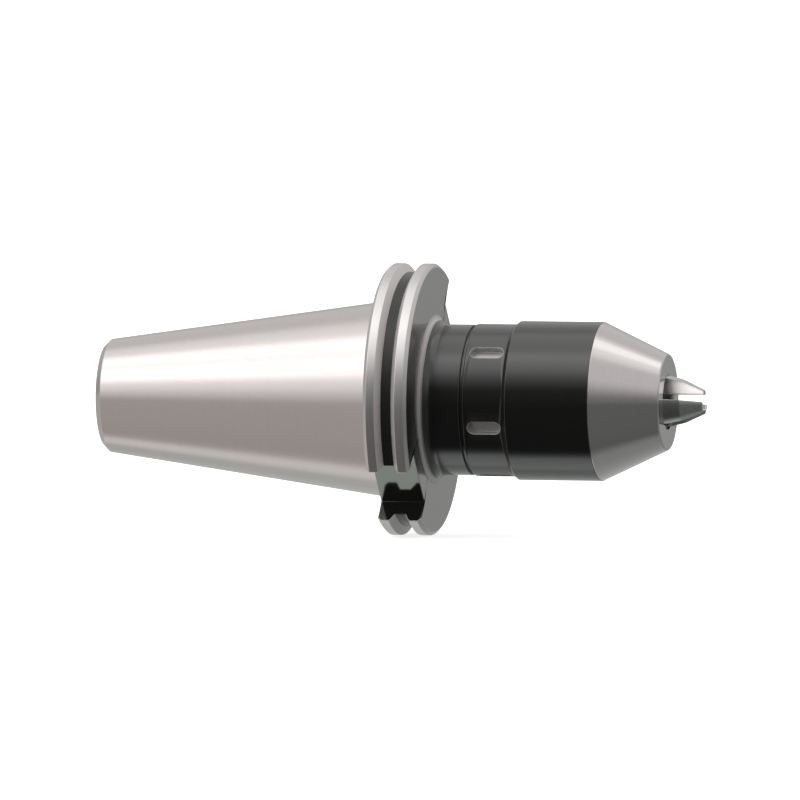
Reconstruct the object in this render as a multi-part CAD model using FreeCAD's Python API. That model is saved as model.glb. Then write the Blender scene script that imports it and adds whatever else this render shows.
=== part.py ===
"""Drill chuck on a size 50 steep-taper shank, built as separate pieces.

The chuck axis is X, with the jaws towards +X, and +Z is up.  The origin is on the
axis at the gauge plane, where the 7/24 taper has its nominal diameter.
All lengths are in millimetres and all angles in degrees.
"""
import FreeCAD, Part
import math
import os

Vector = FreeCAD.Vector
ORIGIN = Vector(0, 0, 0)
AXIS = Vector(1, 0, 0)

# --- Steep-taper shank, size 50 ---
GAUGE_RADIUS = 34.925
TAPER_PER_SIDE = 7.0 / 48.0
TAPER_LENGTH = 101.75
TAPER_END_CHAMFER = 2.1
FLANGE_RADIUS = 48.75
FLANGE_REAR = 3.2
FLANGE_FRONT = 19.1
FLANGE_CHAMFER = 1.2
GRIP_GROOVE_CENTRE = 11.1
GRIP_GROOVE_FLOOR_RADIUS = 45.625
GRIP_GROOVE_FLOOR_WIDTH = 3.75
GRIP_GROOVE_WALL_ANGLE = 30.0
DRIVE_SLOT_WIDTH = 25.7
DRIVE_SLOT_CORNER = 1.5
UPPER_SLOT_ANGLE = 45.0
UPPER_SLOT_FLOOR = 35.5
LOWER_SLOT_ANGLE = 225.0
LOWER_SLOT_FLOOR = 37.7
PILOT_RADIUS = 12.5
PILOT_DEPTH = 8.0
STUD_THREAD_RADIUS = 10.5
STUD_THREAD_END = 62.0
DRILL_POINT = 6.0

# --- Fixed rear end of the chuck ---
REAR_BODY_RADIUS = 27.0
ROOT_FILLET = 5.0
FILLET_SPLIT_ANGLE = 45.0
COLLAR_STEP_X = 33.6
COLLAR_FRONT = 34.6
COLLAR_STEP_RADIUS = 26.0
COLLAR_SEAT_RADIUS = 24.0
SPIGOT_RADIUS = 15.0
SPIGOT_END = 53.5
SCREW_BORE_RADIUS = 9.05
SCREW_BORE_REAR = 13.0

# --- Turning sleeve ---
RING_RADIUS = 27.35
RING_REAR = 34.9
RING_FRONT = 49.5
RING_LIP_FRONT = 39.0
RING_BORE_RADIUS = 23.6
RING_TAIL_END = 55.2
SLEEVE_RADIUS = 28.5
SLEEVE_CHAMFER_LENGTH = 1.2
SLEEVE_FRONT = 81.0
SLEEVE_BORE_RADIUS = 25.6
SEAT_CLEARANCE = 0.05
SPANNER_SLOTS = 6
SPANNER_SLOT_LENGTH = 12.2
SPANNER_SLOT_WIDTH = 4.6
SPANNER_SLOT_FLOOR = 24.9
SPANNER_SLOT_X = 42.6
SPANNER_SLOT_ANGLE = 78.5

# --- Nose and jaws ---
NOSE_FACE = 104.6
NOSE_FACE_RADIUS = 17.45
NOSE_EDGE = 0.45
NOSE_TAIL_REAR = 55.5
JAWS = 3
JAW_ANGLE = 81.0
JAW_SLIDE_ANGLE = 15.0
JAW_SLOPE = math.tan(math.radians(JAW_SLIDE_ANGLE))
GRIP_RADIUS = 2.75
GRIP_RADIUS_CLOSED = 1.5
JAW_HALF_WIDTH = 4.95
JAW_WEDGE_ANGLE = 33.0
JAW_WIDE_FROM = 8.33
JAW_BACK_AT_FACE = 9.75
NOSE_BORE_AT_FACE = 9.85
JAW_REAR = 81.8
JAW_TIP = 117.8
JAW_TIP_BACK = 4.6
JAW_BEVEL_START = 110.3
JAW_SLOT_HALF_WIDTH = 5.0

# --- Drive screw ---
SCREW_MAJOR_RADIUS = 8.95
SCREW_ROOT_RADIUS = 7.9
SCREW_PITCH = 3.0
SCREW_REAR = 36.0
SCREW_NECK_X = 72.0
HEAD_RADIUS = 13.0
HEAD_REAR = 75.0
HEAD_FRONT = 81.5
TEE_REAR = 76.0
TEE_FRONT = 78.5
TEE_HALF_WIDTH = 3.9
TEE_NECK_HALF_WIDTH = 2.3
TEE_INNER = 1.9
TEE_PLAY = 0.1
FOOT_INNER = 3.6
FOOT_OUTER = 9.4

# --- Jaw guide ---
GUIDE_REAR = 58.2
GUIDE_RING_FRONT = 61.5
GUIDE_RING_BORE = 16.5
GUIDE_RING_RADIUS = 21.9
GUIDE_HEAD_BORE = 13.3
GUIDE_BORE_STEP = 86.7
GUIDE_TOOL_BORE = 8.3
GUIDE_FRONT = 103.6
DOWEL_RADIUS = 1.5
DOWEL_X = 66.0
DOWEL_INNER = 16.0
DOWEL_OUTER = 25.3
SNAP_RING_REAR = 57.0
SNAP_RING_FRONT = 58.1
SNAP_RING_BORE = 19.5
SNAP_RING_RADIUS = 23.3
SNAP_RING_GAP_ANGLE = 30.0

# --- Thrust bearing, seals and lock nut ---
BALLS = 16
BALL_RADIUS = 2.38
BALL_CIRCLE_RADIUS = 19.4
BALL_CENTRE_X = 43.4
BALL_GROOVE_RADIUS = 2.42
RACE_BORE = 15.4
RACE_RADIUS = 23.3
MOVING_RACE_FRONT = 41.6
FIXED_RACE_REAR = 45.2
FIXED_RACE_FRONT = 47.8
CAGE_REAR = 42.5
CAGE_FRONT = 44.3
CAGE_BORE = 16.0
CAGE_RADIUS = 22.8
CAGE_POCKET_RADIUS = 2.45
BUSH_RADIUS = 17.0
BUSH_BORE = 15.05
DISC_SPRING_BORE = 15.8
DISC_SPRING_RADIUS = 21.5
DISC_SPRING_THICKNESS = 0.5
LOCK_NUT_REAR = 48.7
LOCK_NUT_RADIUS = 23.2
GRUB_SCREWS = 3
GRUB_SCREW_RADIUS = 2.0
GRUB_SCREW_X = 51.1
GRUB_SOCKET_ACROSS = 2.0
GRUB_SOCKET_DEPTH = 2.5
REAR_SEAL_SECTION = 0.65
REAR_SEAL_RADIUS = 25.0
REAR_SEAL_X = 34.05
NOSE_SEAL_SECTION = 0.62
NOSE_SEAL_RADIUS = 24.95
NOSE_SEAL_X = 78.0

BEYOND = 5.0


def line_profile(points):
    """Close a chain of (x, radius) points, where a point with four values is an arc
    through its first pair that ends at its second pair."""
    edges = []
    here = Vector(points[0][0], points[0][1], 0)
    for step in list(points[1:]) + [points[0]]:
        end = Vector(step[-2], step[-1], 0)
        if len(step) == 4:
            through = Vector(step[0], step[1], 0)
            edges.append(Part.Arc(here, through, end).toShape())
        elif here.distanceToPoint(end) > 1e-7:
            edges.append(Part.LineSegment(here, end).toShape())
        here = end
    return Part.Face(Part.Wire(edges))


def revolved(points):
    """Solid of revolution about the chuck axis from an (x, radius) outline."""
    return line_profile(points).revolve(ORIGIN, AXIS, 360)


def tube(x_start, x_end, inner, outer):
    """Plain ring from x_start to x_end."""
    return revolved([(x_start, inner), (x_start, outer), (x_end, outer), (x_end, inner)])


def turned(shape, angle):
    """Copy of a shape turned about the chuck axis; 0 degrees is +Y and 90 is +Z."""
    copy = shape.copy()
    copy.rotate(ORIGIN, AXIS, angle)
    return copy


def spread(shape, count, first_angle):
    """Copies of a shape at even angles about the chuck axis."""
    return [turned(shape, first_angle + index * 360.0 / count) for index in range(count)]


def radial_box(x_start, x_end, inner, outer, half_width):
    """Box that reaches out along +Y from inner to outer."""
    length = x_end - x_start
    height = outer - inner
    return Part.makeBox(length, height, 2 * half_width, Vector(x_start, inner, -half_width))


def radial_cylinder(x_centre, inner, outer, radius):
    """Round bar along +Y."""
    return Part.makeCylinder(radius, outer - inner, Vector(x_centre, inner, 0), Vector(0, 1, 0))


def ring_torus(x_centre, major, minor):
    """Round-section ring about the chuck axis."""
    return Part.makeTorus(major, minor, Vector(x_centre, 0, 0), AXIS)


def taper_radius(x):
    """Radius of the 7/24 taper."""
    return GAUGE_RADIUS + TAPER_PER_SIDE * x


def slide_line(x, at_face):
    """Radius of a line along the jaw slide that has radius at_face at the nose face."""
    return at_face + JAW_SLOPE * (NOSE_FACE - x)


def fillet_point(angle):
    """Point (x, radius) of the root fillet; 0 degrees is on the flange face."""
    reach = ROOT_FILLET * math.cos(math.radians(angle))
    drop = ROOT_FILLET * math.sin(math.radians(angle))
    return (FLANGE_FRONT + ROOT_FILLET - reach, REAR_BODY_RADIUS + ROOT_FILLET - drop)


def drive_slot(floor, angle):
    """Cutter for one drive slot, open to both flange faces and to the rim."""
    cutter = radial_box(FLANGE_REAR - BEYOND, FLANGE_FRONT + BEYOND, floor,
                        FLANGE_RADIUS + BEYOND, DRIVE_SLOT_WIDTH / 2)
    floor_edges = []
    for edge in cutter.Edges:
        box = edge.BoundBox
        on_floor = abs(box.YMax - floor) < 1e-6
        if on_floor and box.XLength > BEYOND and box.ZLength < 1e-6:
            floor_edges.append(edge)
    return turned(cutter.makeFillet(DRIVE_SLOT_CORNER, floor_edges), angle)


def taper_shank():
    """Taper, gripper flange and threaded spigot in one piece."""
    wall_run = (FLANGE_RADIUS - GRIP_GROOVE_FLOOR_RADIUS) * math.tan(math.radians(GRIP_GROOVE_WALL_ANGLE))
    groove_floor = GRIP_GROOVE_FLOOR_WIDTH / 2
    groove_rim = groove_floor + wall_run
    chamfer_x = -TAPER_LENGTH + TAPER_END_CHAMFER
    split = fillet_point(FILLET_SPLIT_ANGLE)
    outline = [
        (-TAPER_LENGTH, PILOT_RADIUS),
        (-TAPER_LENGTH, taper_radius(chamfer_x) - TAPER_END_CHAMFER),
        (chamfer_x, taper_radius(chamfer_x)),
        (FLANGE_REAR, taper_radius(FLANGE_REAR)),
        (FLANGE_REAR, FLANGE_RADIUS - FLANGE_CHAMFER),
        (FLANGE_REAR + FLANGE_CHAMFER, FLANGE_RADIUS),
        (GRIP_GROOVE_CENTRE - groove_rim, FLANGE_RADIUS),
        (GRIP_GROOVE_CENTRE - groove_floor, GRIP_GROOVE_FLOOR_RADIUS),
        (GRIP_GROOVE_CENTRE + groove_floor, GRIP_GROOVE_FLOOR_RADIUS),
        (GRIP_GROOVE_CENTRE + groove_rim, FLANGE_RADIUS),
        (FLANGE_FRONT - FLANGE_CHAMFER, FLANGE_RADIUS),
        (FLANGE_FRONT, FLANGE_RADIUS - FLANGE_CHAMFER),
        fillet_point(0),
        fillet_point(FILLET_SPLIT_ANGLE / 2) + split,
        (split[0], COLLAR_SEAT_RADIUS),
        (COLLAR_FRONT - 0.1, COLLAR_SEAT_RADIUS),
        (COLLAR_FRONT - 0.1, SPIGOT_RADIUS),
        (SPIGOT_END, SPIGOT_RADIUS),
        (SPIGOT_END, SCREW_BORE_RADIUS),
        (SCREW_BORE_REAR, SCREW_BORE_RADIUS),
        (SCREW_BORE_REAR - DRILL_POINT, 0),
        (-TAPER_LENGTH + STUD_THREAD_END + DRILL_POINT, 0),
        (-TAPER_LENGTH + STUD_THREAD_END, STUD_THREAD_RADIUS),
        (-TAPER_LENGTH + PILOT_DEPTH, STUD_THREAD_RADIUS),
        (-TAPER_LENGTH + PILOT_DEPTH, PILOT_RADIUS),
    ]
    shank = revolved(outline)
    shank = shank.cut(drive_slot(UPPER_SLOT_FLOOR, UPPER_SLOT_ANGLE))
    return shank.cut(drive_slot(LOWER_SLOT_FLOOR, LOWER_SLOT_ANGLE))


def rear_collar():
    """Blackened collar that closes the rear of the chuck and carries the fillet on."""
    split = fillet_point(FILLET_SPLIT_ANGLE)
    middle = fillet_point((FILLET_SPLIT_ANGLE + 90) / 2)
    collar = revolved([
        (split[0], COLLAR_SEAT_RADIUS),
        split,
        middle + fillet_point(90),
        (COLLAR_STEP_X, REAR_BODY_RADIUS),
        (COLLAR_STEP_X, COLLAR_STEP_RADIUS),
        (COLLAR_FRONT, COLLAR_STEP_RADIUS),
        (COLLAR_FRONT, COLLAR_SEAT_RADIUS),
    ])
    seal_room = REAR_SEAL_SECTION + SEAT_CLEARANCE
    groove = tube(REAR_SEAL_X - seal_room, COLLAR_FRONT + BEYOND,
                  REAR_SEAL_RADIUS - seal_room, REAR_SEAL_RADIUS + seal_room)
    return collar.cut(groove)


def rear_seal():
    """O-ring between the rear collar and the turning ring."""
    return ring_torus(REAR_SEAL_X, REAR_SEAL_RADIUS, REAR_SEAL_SECTION)


def ball_groove():
    """Cutter for the ball track in both races."""
    return ring_torus(BALL_CENTRE_X, BALL_CIRCLE_RADIUS, BALL_GROOVE_RADIUS)


def moving_race():
    """Thrust race that turns with the sleeve."""
    return tube(RING_LIP_FRONT, MOVING_RACE_FRONT, RACE_BORE, RACE_RADIUS).cut(ball_groove())


def fixed_race():
    """Thrust race held against the lock nut."""
    blank = tube(FIXED_RACE_REAR, FIXED_RACE_FRONT, SPIGOT_RADIUS, RACE_RADIUS - 0.2)
    return blank.cut(ball_groove())


def ball_cage():
    """Ring with a round pocket for each ball."""
    cage = tube(CAGE_REAR, CAGE_FRONT, CAGE_BORE, CAGE_RADIUS)
    pocket = Part.makeCylinder(CAGE_POCKET_RADIUS, CAGE_FRONT - CAGE_REAR + 2,
                               Vector(CAGE_REAR - 1, BALL_CIRCLE_RADIUS, 0), AXIS)
    for cutter in spread(pocket, BALLS, 0):
        cage = cage.cut(cutter)
    return cage


def bearing_balls():
    """Thrust balls, each a solid of its own."""
    ball = Part.makeSphere(BALL_RADIUS, Vector(BALL_CENTRE_X, BALL_CIRCLE_RADIUS, 0))
    return Part.makeCompound(spread(ball, BALLS, 0))


def disc_spring():
    """Coned washer that keeps the thrust bearing closed up."""
    return revolved([
        (FIXED_RACE_FRONT, DISC_SPRING_RADIUS),
        (FIXED_RACE_FRONT + DISC_SPRING_THICKNESS, DISC_SPRING_RADIUS),
        (LOCK_NUT_REAR, DISC_SPRING_BORE),
        (LOCK_NUT_REAR - DISC_SPRING_THICKNESS, DISC_SPRING_BORE),
    ])


def lock_nut():
    """Round nut on the end of the spigot that takes the bearing thrust."""
    nut = tube(LOCK_NUT_REAR, SPIGOT_END, SPIGOT_RADIUS, LOCK_NUT_RADIUS)
    hole = radial_cylinder(GRUB_SCREW_X, SPIGOT_RADIUS - 1, LOCK_NUT_RADIUS + 1, GRUB_SCREW_RADIUS)
    for cutter in spread(hole, GRUB_SCREWS, 30):
        nut = nut.cut(cutter)
    return nut


def nut_grub_screws():
    """Set screws that lock the round nut."""
    outer = LOCK_NUT_RADIUS - 0.4
    inner = SPIGOT_RADIUS + SEAT_CLEARANCE
    screw = radial_cylinder(GRUB_SCREW_X, inner, outer, GRUB_SCREW_RADIUS)
    corner = GRUB_SOCKET_ACROSS / math.sqrt(3)
    points = []
    for index in range(7):
        turn = math.radians(60 * index)
        across = Vector(corner * math.cos(turn), 0, corner * math.sin(turn))
        points.append(Vector(GRUB_SCREW_X, outer, 0) + across)
    socket = Part.Face(Part.makePolygon(points)).extrude(Vector(0, -GRUB_SOCKET_DEPTH, 0))
    return Part.makeCompound(spread(screw.cut(socket), GRUB_SCREWS, 30))


def spanner_slot():
    """Cutter for one round-ended spanner slot, along the chuck axis."""
    half = SPANNER_SLOT_WIDTH / 2
    end_offset = SPANNER_SLOT_LENGTH / 2 - half
    reach = RING_RADIUS + BEYOND
    slot = radial_box(SPANNER_SLOT_X - end_offset, SPANNER_SLOT_X + end_offset,
                      SPANNER_SLOT_FLOOR, reach, half)
    for side in (-1, 1):
        end = radial_cylinder(SPANNER_SLOT_X + side * end_offset, SPANNER_SLOT_FLOOR, reach, half)
        slot = slot.fuse(end)
    return slot.removeSplitter()


def spanner_ring():
    """Ring with the spanner slots, whose lip runs behind the thrust bearing."""
    tail_radius = SLEEVE_BORE_RADIUS - SEAT_CLEARANCE
    ring = revolved([
        (RING_REAR, BUSH_RADIUS),
        (RING_REAR, RING_RADIUS - 0.3),
        (RING_REAR + 0.3, RING_RADIUS),
        (RING_FRONT, RING_RADIUS),
        (RING_FRONT, tail_radius),
        (RING_TAIL_END, tail_radius),
        (RING_TAIL_END, RING_BORE_RADIUS),
        (RING_LIP_FRONT, RING_BORE_RADIUS),
        (RING_LIP_FRONT, BUSH_RADIUS),
    ])
    for cutter in spread(spanner_slot(), SPANNER_SLOTS, SPANNER_SLOT_ANGLE):
        ring = ring.cut(cutter)
    return ring


def sleeve_bush():
    """Bronze bush between the turning ring and the spigot."""
    return tube(RING_REAR + SEAT_CLEARANCE, RING_LIP_FRONT, BUSH_BORE, BUSH_RADIUS)


def outer_sleeve():
    """Blackened grip sleeve between the spanner ring and the nose."""
    return revolved([
        (RING_FRONT, SLEEVE_BORE_RADIUS),
        (RING_FRONT, RING_RADIUS),
        (RING_FRONT + SLEEVE_CHAMFER_LENGTH, SLEEVE_RADIUS),
        (SLEEVE_FRONT, SLEEVE_RADIUS),
        (SLEEVE_FRONT, SLEEVE_BORE_RADIUS),
    ])


def dowel_holes(radius):
    """Cutters or pins between the jaw slots, of the given radius."""
    pin = radial_cylinder(DOWEL_X, DOWEL_INNER, DOWEL_OUTER, radius)
    return spread(pin, JAWS, JAW_ANGLE + 180.0 / JAWS)


def nose_cone():
    """Steel nose whose conical bore backs the jaws."""
    tail_radius = SLEEVE_BORE_RADIUS - SEAT_CLEARANCE
    snap_groove = SNAP_RING_RADIUS + 0.1
    bore_at_ring = GUIDE_RING_RADIUS + SEAT_CLEARANCE
    nose = revolved([
        (NOSE_TAIL_REAR, bore_at_ring),
        (NOSE_TAIL_REAR, tail_radius),
        (SLEEVE_FRONT, tail_radius),
        (SLEEVE_FRONT, SLEEVE_RADIUS - 0.15),
        (SLEEVE_FRONT + 0.15, SLEEVE_RADIUS - 0.15),
        (NOSE_FACE - NOSE_EDGE, NOSE_FACE_RADIUS),
        (NOSE_FACE, NOSE_FACE_RADIUS - NOSE_EDGE),
        (NOSE_FACE, NOSE_BORE_AT_FACE),
        (GUIDE_RING_FRONT, slide_line(GUIDE_RING_FRONT, NOSE_BORE_AT_FACE)),
        (GUIDE_RING_FRONT, bore_at_ring),
        (SNAP_RING_FRONT, bore_at_ring),
        (SNAP_RING_FRONT, snap_groove),
        (SNAP_RING_REAR, snap_groove),
        (SNAP_RING_REAR, bore_at_ring),
    ])
    for cutter in dowel_holes(DOWEL_RADIUS):
        nose = nose.cut(cutter)
    seal_room = NOSE_SEAL_SECTION + SEAT_CLEARANCE
    groove = tube(NOSE_SEAL_X - seal_room, NOSE_SEAL_X + seal_room,
                  NOSE_SEAL_RADIUS - seal_room, SLEEVE_RADIUS)
    return nose.cut(groove)


def nose_seal():
    """O-ring between the nose and the sleeve."""
    return ring_torus(NOSE_SEAL_X, NOSE_SEAL_RADIUS, NOSE_SEAL_SECTION)


def jaw_guide():
    """Coned guide: a rear ring with a finger between each pair of jaws."""
    fit = NOSE_BORE_AT_FACE - SEAT_CLEARANCE
    guide = revolved([
        (GUIDE_REAR, GUIDE_RING_BORE),
        (GUIDE_REAR, GUIDE_RING_RADIUS),
        (GUIDE_RING_FRONT - SEAT_CLEARANCE, GUIDE_RING_RADIUS),
        (GUIDE_RING_FRONT - SEAT_CLEARANCE, slide_line(GUIDE_RING_FRONT, fit)),
        (GUIDE_FRONT, slide_line(GUIDE_FRONT, fit)),
        (GUIDE_FRONT, GUIDE_TOOL_BORE),
        (GUIDE_BORE_STEP, GUIDE_TOOL_BORE),
        (GUIDE_BORE_STEP, GUIDE_HEAD_BORE),
        (GUIDE_RING_FRONT, GUIDE_HEAD_BORE),
        (GUIDE_RING_FRONT, GUIDE_RING_BORE),
    ])
    slot = radial_box(GUIDE_RING_FRONT, GUIDE_FRONT + BEYOND, 0,
                      SLEEVE_RADIUS, JAW_SLOT_HALF_WIDTH)
    for cutter in spread(slot, JAWS, JAW_ANGLE) + dowel_holes(DOWEL_RADIUS):
        guide = guide.cut(cutter)
    return guide


def guide_dowels():
    """Pins that lock the jaw guide to the nose."""
    return Part.makeCompound(dowel_holes(DOWEL_RADIUS))


def guide_snap_ring():
    """Open ring that keeps the jaw guide in the nose."""
    ring = tube(SNAP_RING_REAR + 0.1, SNAP_RING_FRONT, SNAP_RING_BORE, SNAP_RING_RADIUS)
    half_gap = SNAP_RING_RADIUS * math.tan(math.radians(SNAP_RING_GAP_ANGLE / 2))
    gap = radial_box(SNAP_RING_REAR, SNAP_RING_FRONT + 1, 0, SNAP_RING_RADIUS + 1, half_gap)
    return ring.cut(turned(gap, -90))


def drive_screw():
    """Spindle with thread ridges and a slotted head that carries the jaw feet."""
    outline = [(SCREW_REAR, 0), (SCREW_REAR, SCREW_ROOT_RADIUS)]
    ridges = int((SCREW_NECK_X - SCREW_REAR) / SCREW_PITCH)
    flank = SCREW_PITCH * 0.22
    for index in range(ridges):
        root = SCREW_REAR + index * SCREW_PITCH
        outline.append((root + flank, SCREW_ROOT_RADIUS))
        outline.append((root + 2 * flank, SCREW_MAJOR_RADIUS))
        outline.append((root + SCREW_PITCH - flank, SCREW_MAJOR_RADIUS))
        outline.append((root + SCREW_PITCH, SCREW_ROOT_RADIUS))
    outline += [
        (HEAD_REAR, SCREW_ROOT_RADIUS),
        (HEAD_REAR, HEAD_RADIUS - 0.5),
        (HEAD_REAR + 0.5, HEAD_RADIUS),
        (HEAD_FRONT - 0.5, HEAD_RADIUS),
        (HEAD_FRONT, HEAD_RADIUS - 0.5),
        (HEAD_FRONT, 0),
    ]
    screw = revolved(outline)
    reach = HEAD_RADIUS + BEYOND
    tee = radial_box(TEE_REAR, TEE_FRONT, TEE_INNER, reach, TEE_HALF_WIDTH)
    neck = radial_box(TEE_FRONT - 0.1, HEAD_FRONT + 1, TEE_INNER, reach, TEE_NECK_HALF_WIDTH)
    for cutter in spread(tee.fuse(neck), JAWS, JAW_ANGLE):
        screw = screw.cut(cutter)
    return screw


def jaw_blank():
    """Wedge-section bar along the chuck axis, at the full jaw length."""
    flat = GRIP_RADIUS
    half_land = JAW_HALF_WIDTH - (JAW_WIDE_FROM - flat) * math.tan(math.radians(JAW_WEDGE_ANGLE))
    back = slide_line(JAW_REAR, JAW_BACK_AT_FACE) + 1
    half = [(flat, half_land), (JAW_WIDE_FROM, JAW_HALF_WIDTH), (back, JAW_HALF_WIDTH)]
    section = half + [(radius, -side) for radius, side in reversed(half)]
    points = [Vector(JAW_REAR, radius, side) for radius, side in section]
    face = Part.Face(Part.makePolygon(points + [points[0]]))
    return face.extrude(Vector(JAW_TIP - JAW_REAR, 0, 0))


def jaw_back():
    """Conical back of a jaw with its bevelled tip.

    The cone is centred where the axis lies when the chuck is closed, so that its curve
    is never flatter than the bore behind it.
    """
    shift = GRIP_RADIUS - GRIP_RADIUS_CLOSED
    rear = JAW_REAR - 1
    back = revolved([
        (rear, 0),
        (rear, slide_line(rear, JAW_BACK_AT_FACE) - shift),
        (JAW_BEVEL_START, slide_line(JAW_BEVEL_START, JAW_BACK_AT_FACE) - shift),
        (JAW_TIP, JAW_TIP_BACK - shift),
        (JAW_TIP, 0),
    ])
    back.translate(Vector(0, shift, 0))
    return back


def jaw():
    """One jaw, pointing out along +Y, with the foot that rides in the screw head."""
    body = jaw_blank().common(jaw_back())
    foot = radial_box(TEE_REAR + 2 * TEE_PLAY, TEE_FRONT - 2 * TEE_PLAY, FOOT_INNER, FOOT_OUTER,
                      TEE_HALF_WIDTH - TEE_PLAY)
    neck = radial_box(TEE_FRONT - 3 * TEE_PLAY, JAW_REAR + 1, FOOT_INNER, FOOT_OUTER,
                      TEE_NECK_HALF_WIDTH - TEE_PLAY)
    return body.fuse([foot, neck]).removeSplitter()


def main():
    """Write one STEP file for each piece."""
    pieces = {
        "taper_shank": taper_shank(),
        "rear_collar": rear_collar(),
        "rear_seal": rear_seal(),
        "fixed_race": fixed_race(),
        "disc_spring": disc_spring(),
        "lock_nut": lock_nut(),
        "nut_grub_screws": nut_grub_screws(),
        "ball_cage": ball_cage(),
        "bearing_balls": bearing_balls(),
        "moving_race": moving_race(),
        "sleeve_bush": sleeve_bush(),
        "spanner_ring": spanner_ring(),
        "outer_sleeve": outer_sleeve(),
        "nose_cone": nose_cone(),
        "nose_seal": nose_seal(),
        "jaw_guide": jaw_guide(),
        "guide_dowels": guide_dowels(),
        "guide_snap_ring": guide_snap_ring(),
        "drive_screw": drive_screw(),
    }
    for index, piece in enumerate(spread(jaw(), JAWS, JAW_ANGLE)):
        pieces["jaw_%d" % (index + 1)] = piece
    os.makedirs("parts", exist_ok=True)
    for name, shape in pieces.items():
        shape.exportStep("parts/%s.step" % name)
        print("%-16s solids %2d  valid %s  volume %9.1f" % (
            name, len(shape.Solids), shape.isValid(), shape.Volume))


main()
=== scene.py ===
"""Looks of the drill chuck: its visible pieces, finishes, light and camera.

The chuck axis is X with the jaws towards +X, and +Z is up.  Sizes in the classes are
in millimetres, and every mesh is written in metres in the frame of the CAD model.
"""
import logging
import math
from dataclasses import dataclass, field
from enum import Enum, IntEnum
from typing import Callable, Sequence

import bmesh
import bpy
import numpy as np
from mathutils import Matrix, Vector


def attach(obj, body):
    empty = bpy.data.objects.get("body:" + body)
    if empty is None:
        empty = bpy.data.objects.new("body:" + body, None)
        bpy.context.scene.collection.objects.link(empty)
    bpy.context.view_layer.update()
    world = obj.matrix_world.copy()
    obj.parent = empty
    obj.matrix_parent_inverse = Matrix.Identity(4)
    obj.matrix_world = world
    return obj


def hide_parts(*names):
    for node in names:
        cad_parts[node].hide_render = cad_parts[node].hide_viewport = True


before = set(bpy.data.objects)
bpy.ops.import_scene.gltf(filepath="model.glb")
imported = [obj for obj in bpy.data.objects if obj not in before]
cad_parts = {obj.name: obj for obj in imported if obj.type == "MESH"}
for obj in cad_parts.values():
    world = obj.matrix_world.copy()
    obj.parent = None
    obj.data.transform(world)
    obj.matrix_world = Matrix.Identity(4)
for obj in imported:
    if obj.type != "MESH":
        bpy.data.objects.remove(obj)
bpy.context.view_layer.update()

LOG = logging.getLogger("drill_chuck")
MM = 0.001
FULL_TURN = 2.0 * math.pi
JAW_ANGLES = (81.0, 201.0, 321.0)
SLIDE_SLOPE = math.tan(math.radians(15.0))
Sockets = dict[str, bpy.types.NodeSocket]


class Body(Enum):
    """CAD bodies that the visible pieces ride on."""

    SHANK = "shank"
    SLEEVE = "sleeve"
    JAW_1 = "jaw_1"
    JAW_2 = "jaw_2"
    JAW_3 = "jaw_3"


class Slot(Enum):
    """Finish slots of the part's record, named for the visible pieces."""

    GROUND = "ground_steel"
    BLACK = "black_oxide"
    JAW = "jaw_steel"


# --------------------------------------------------------------------------- nodes


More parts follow.
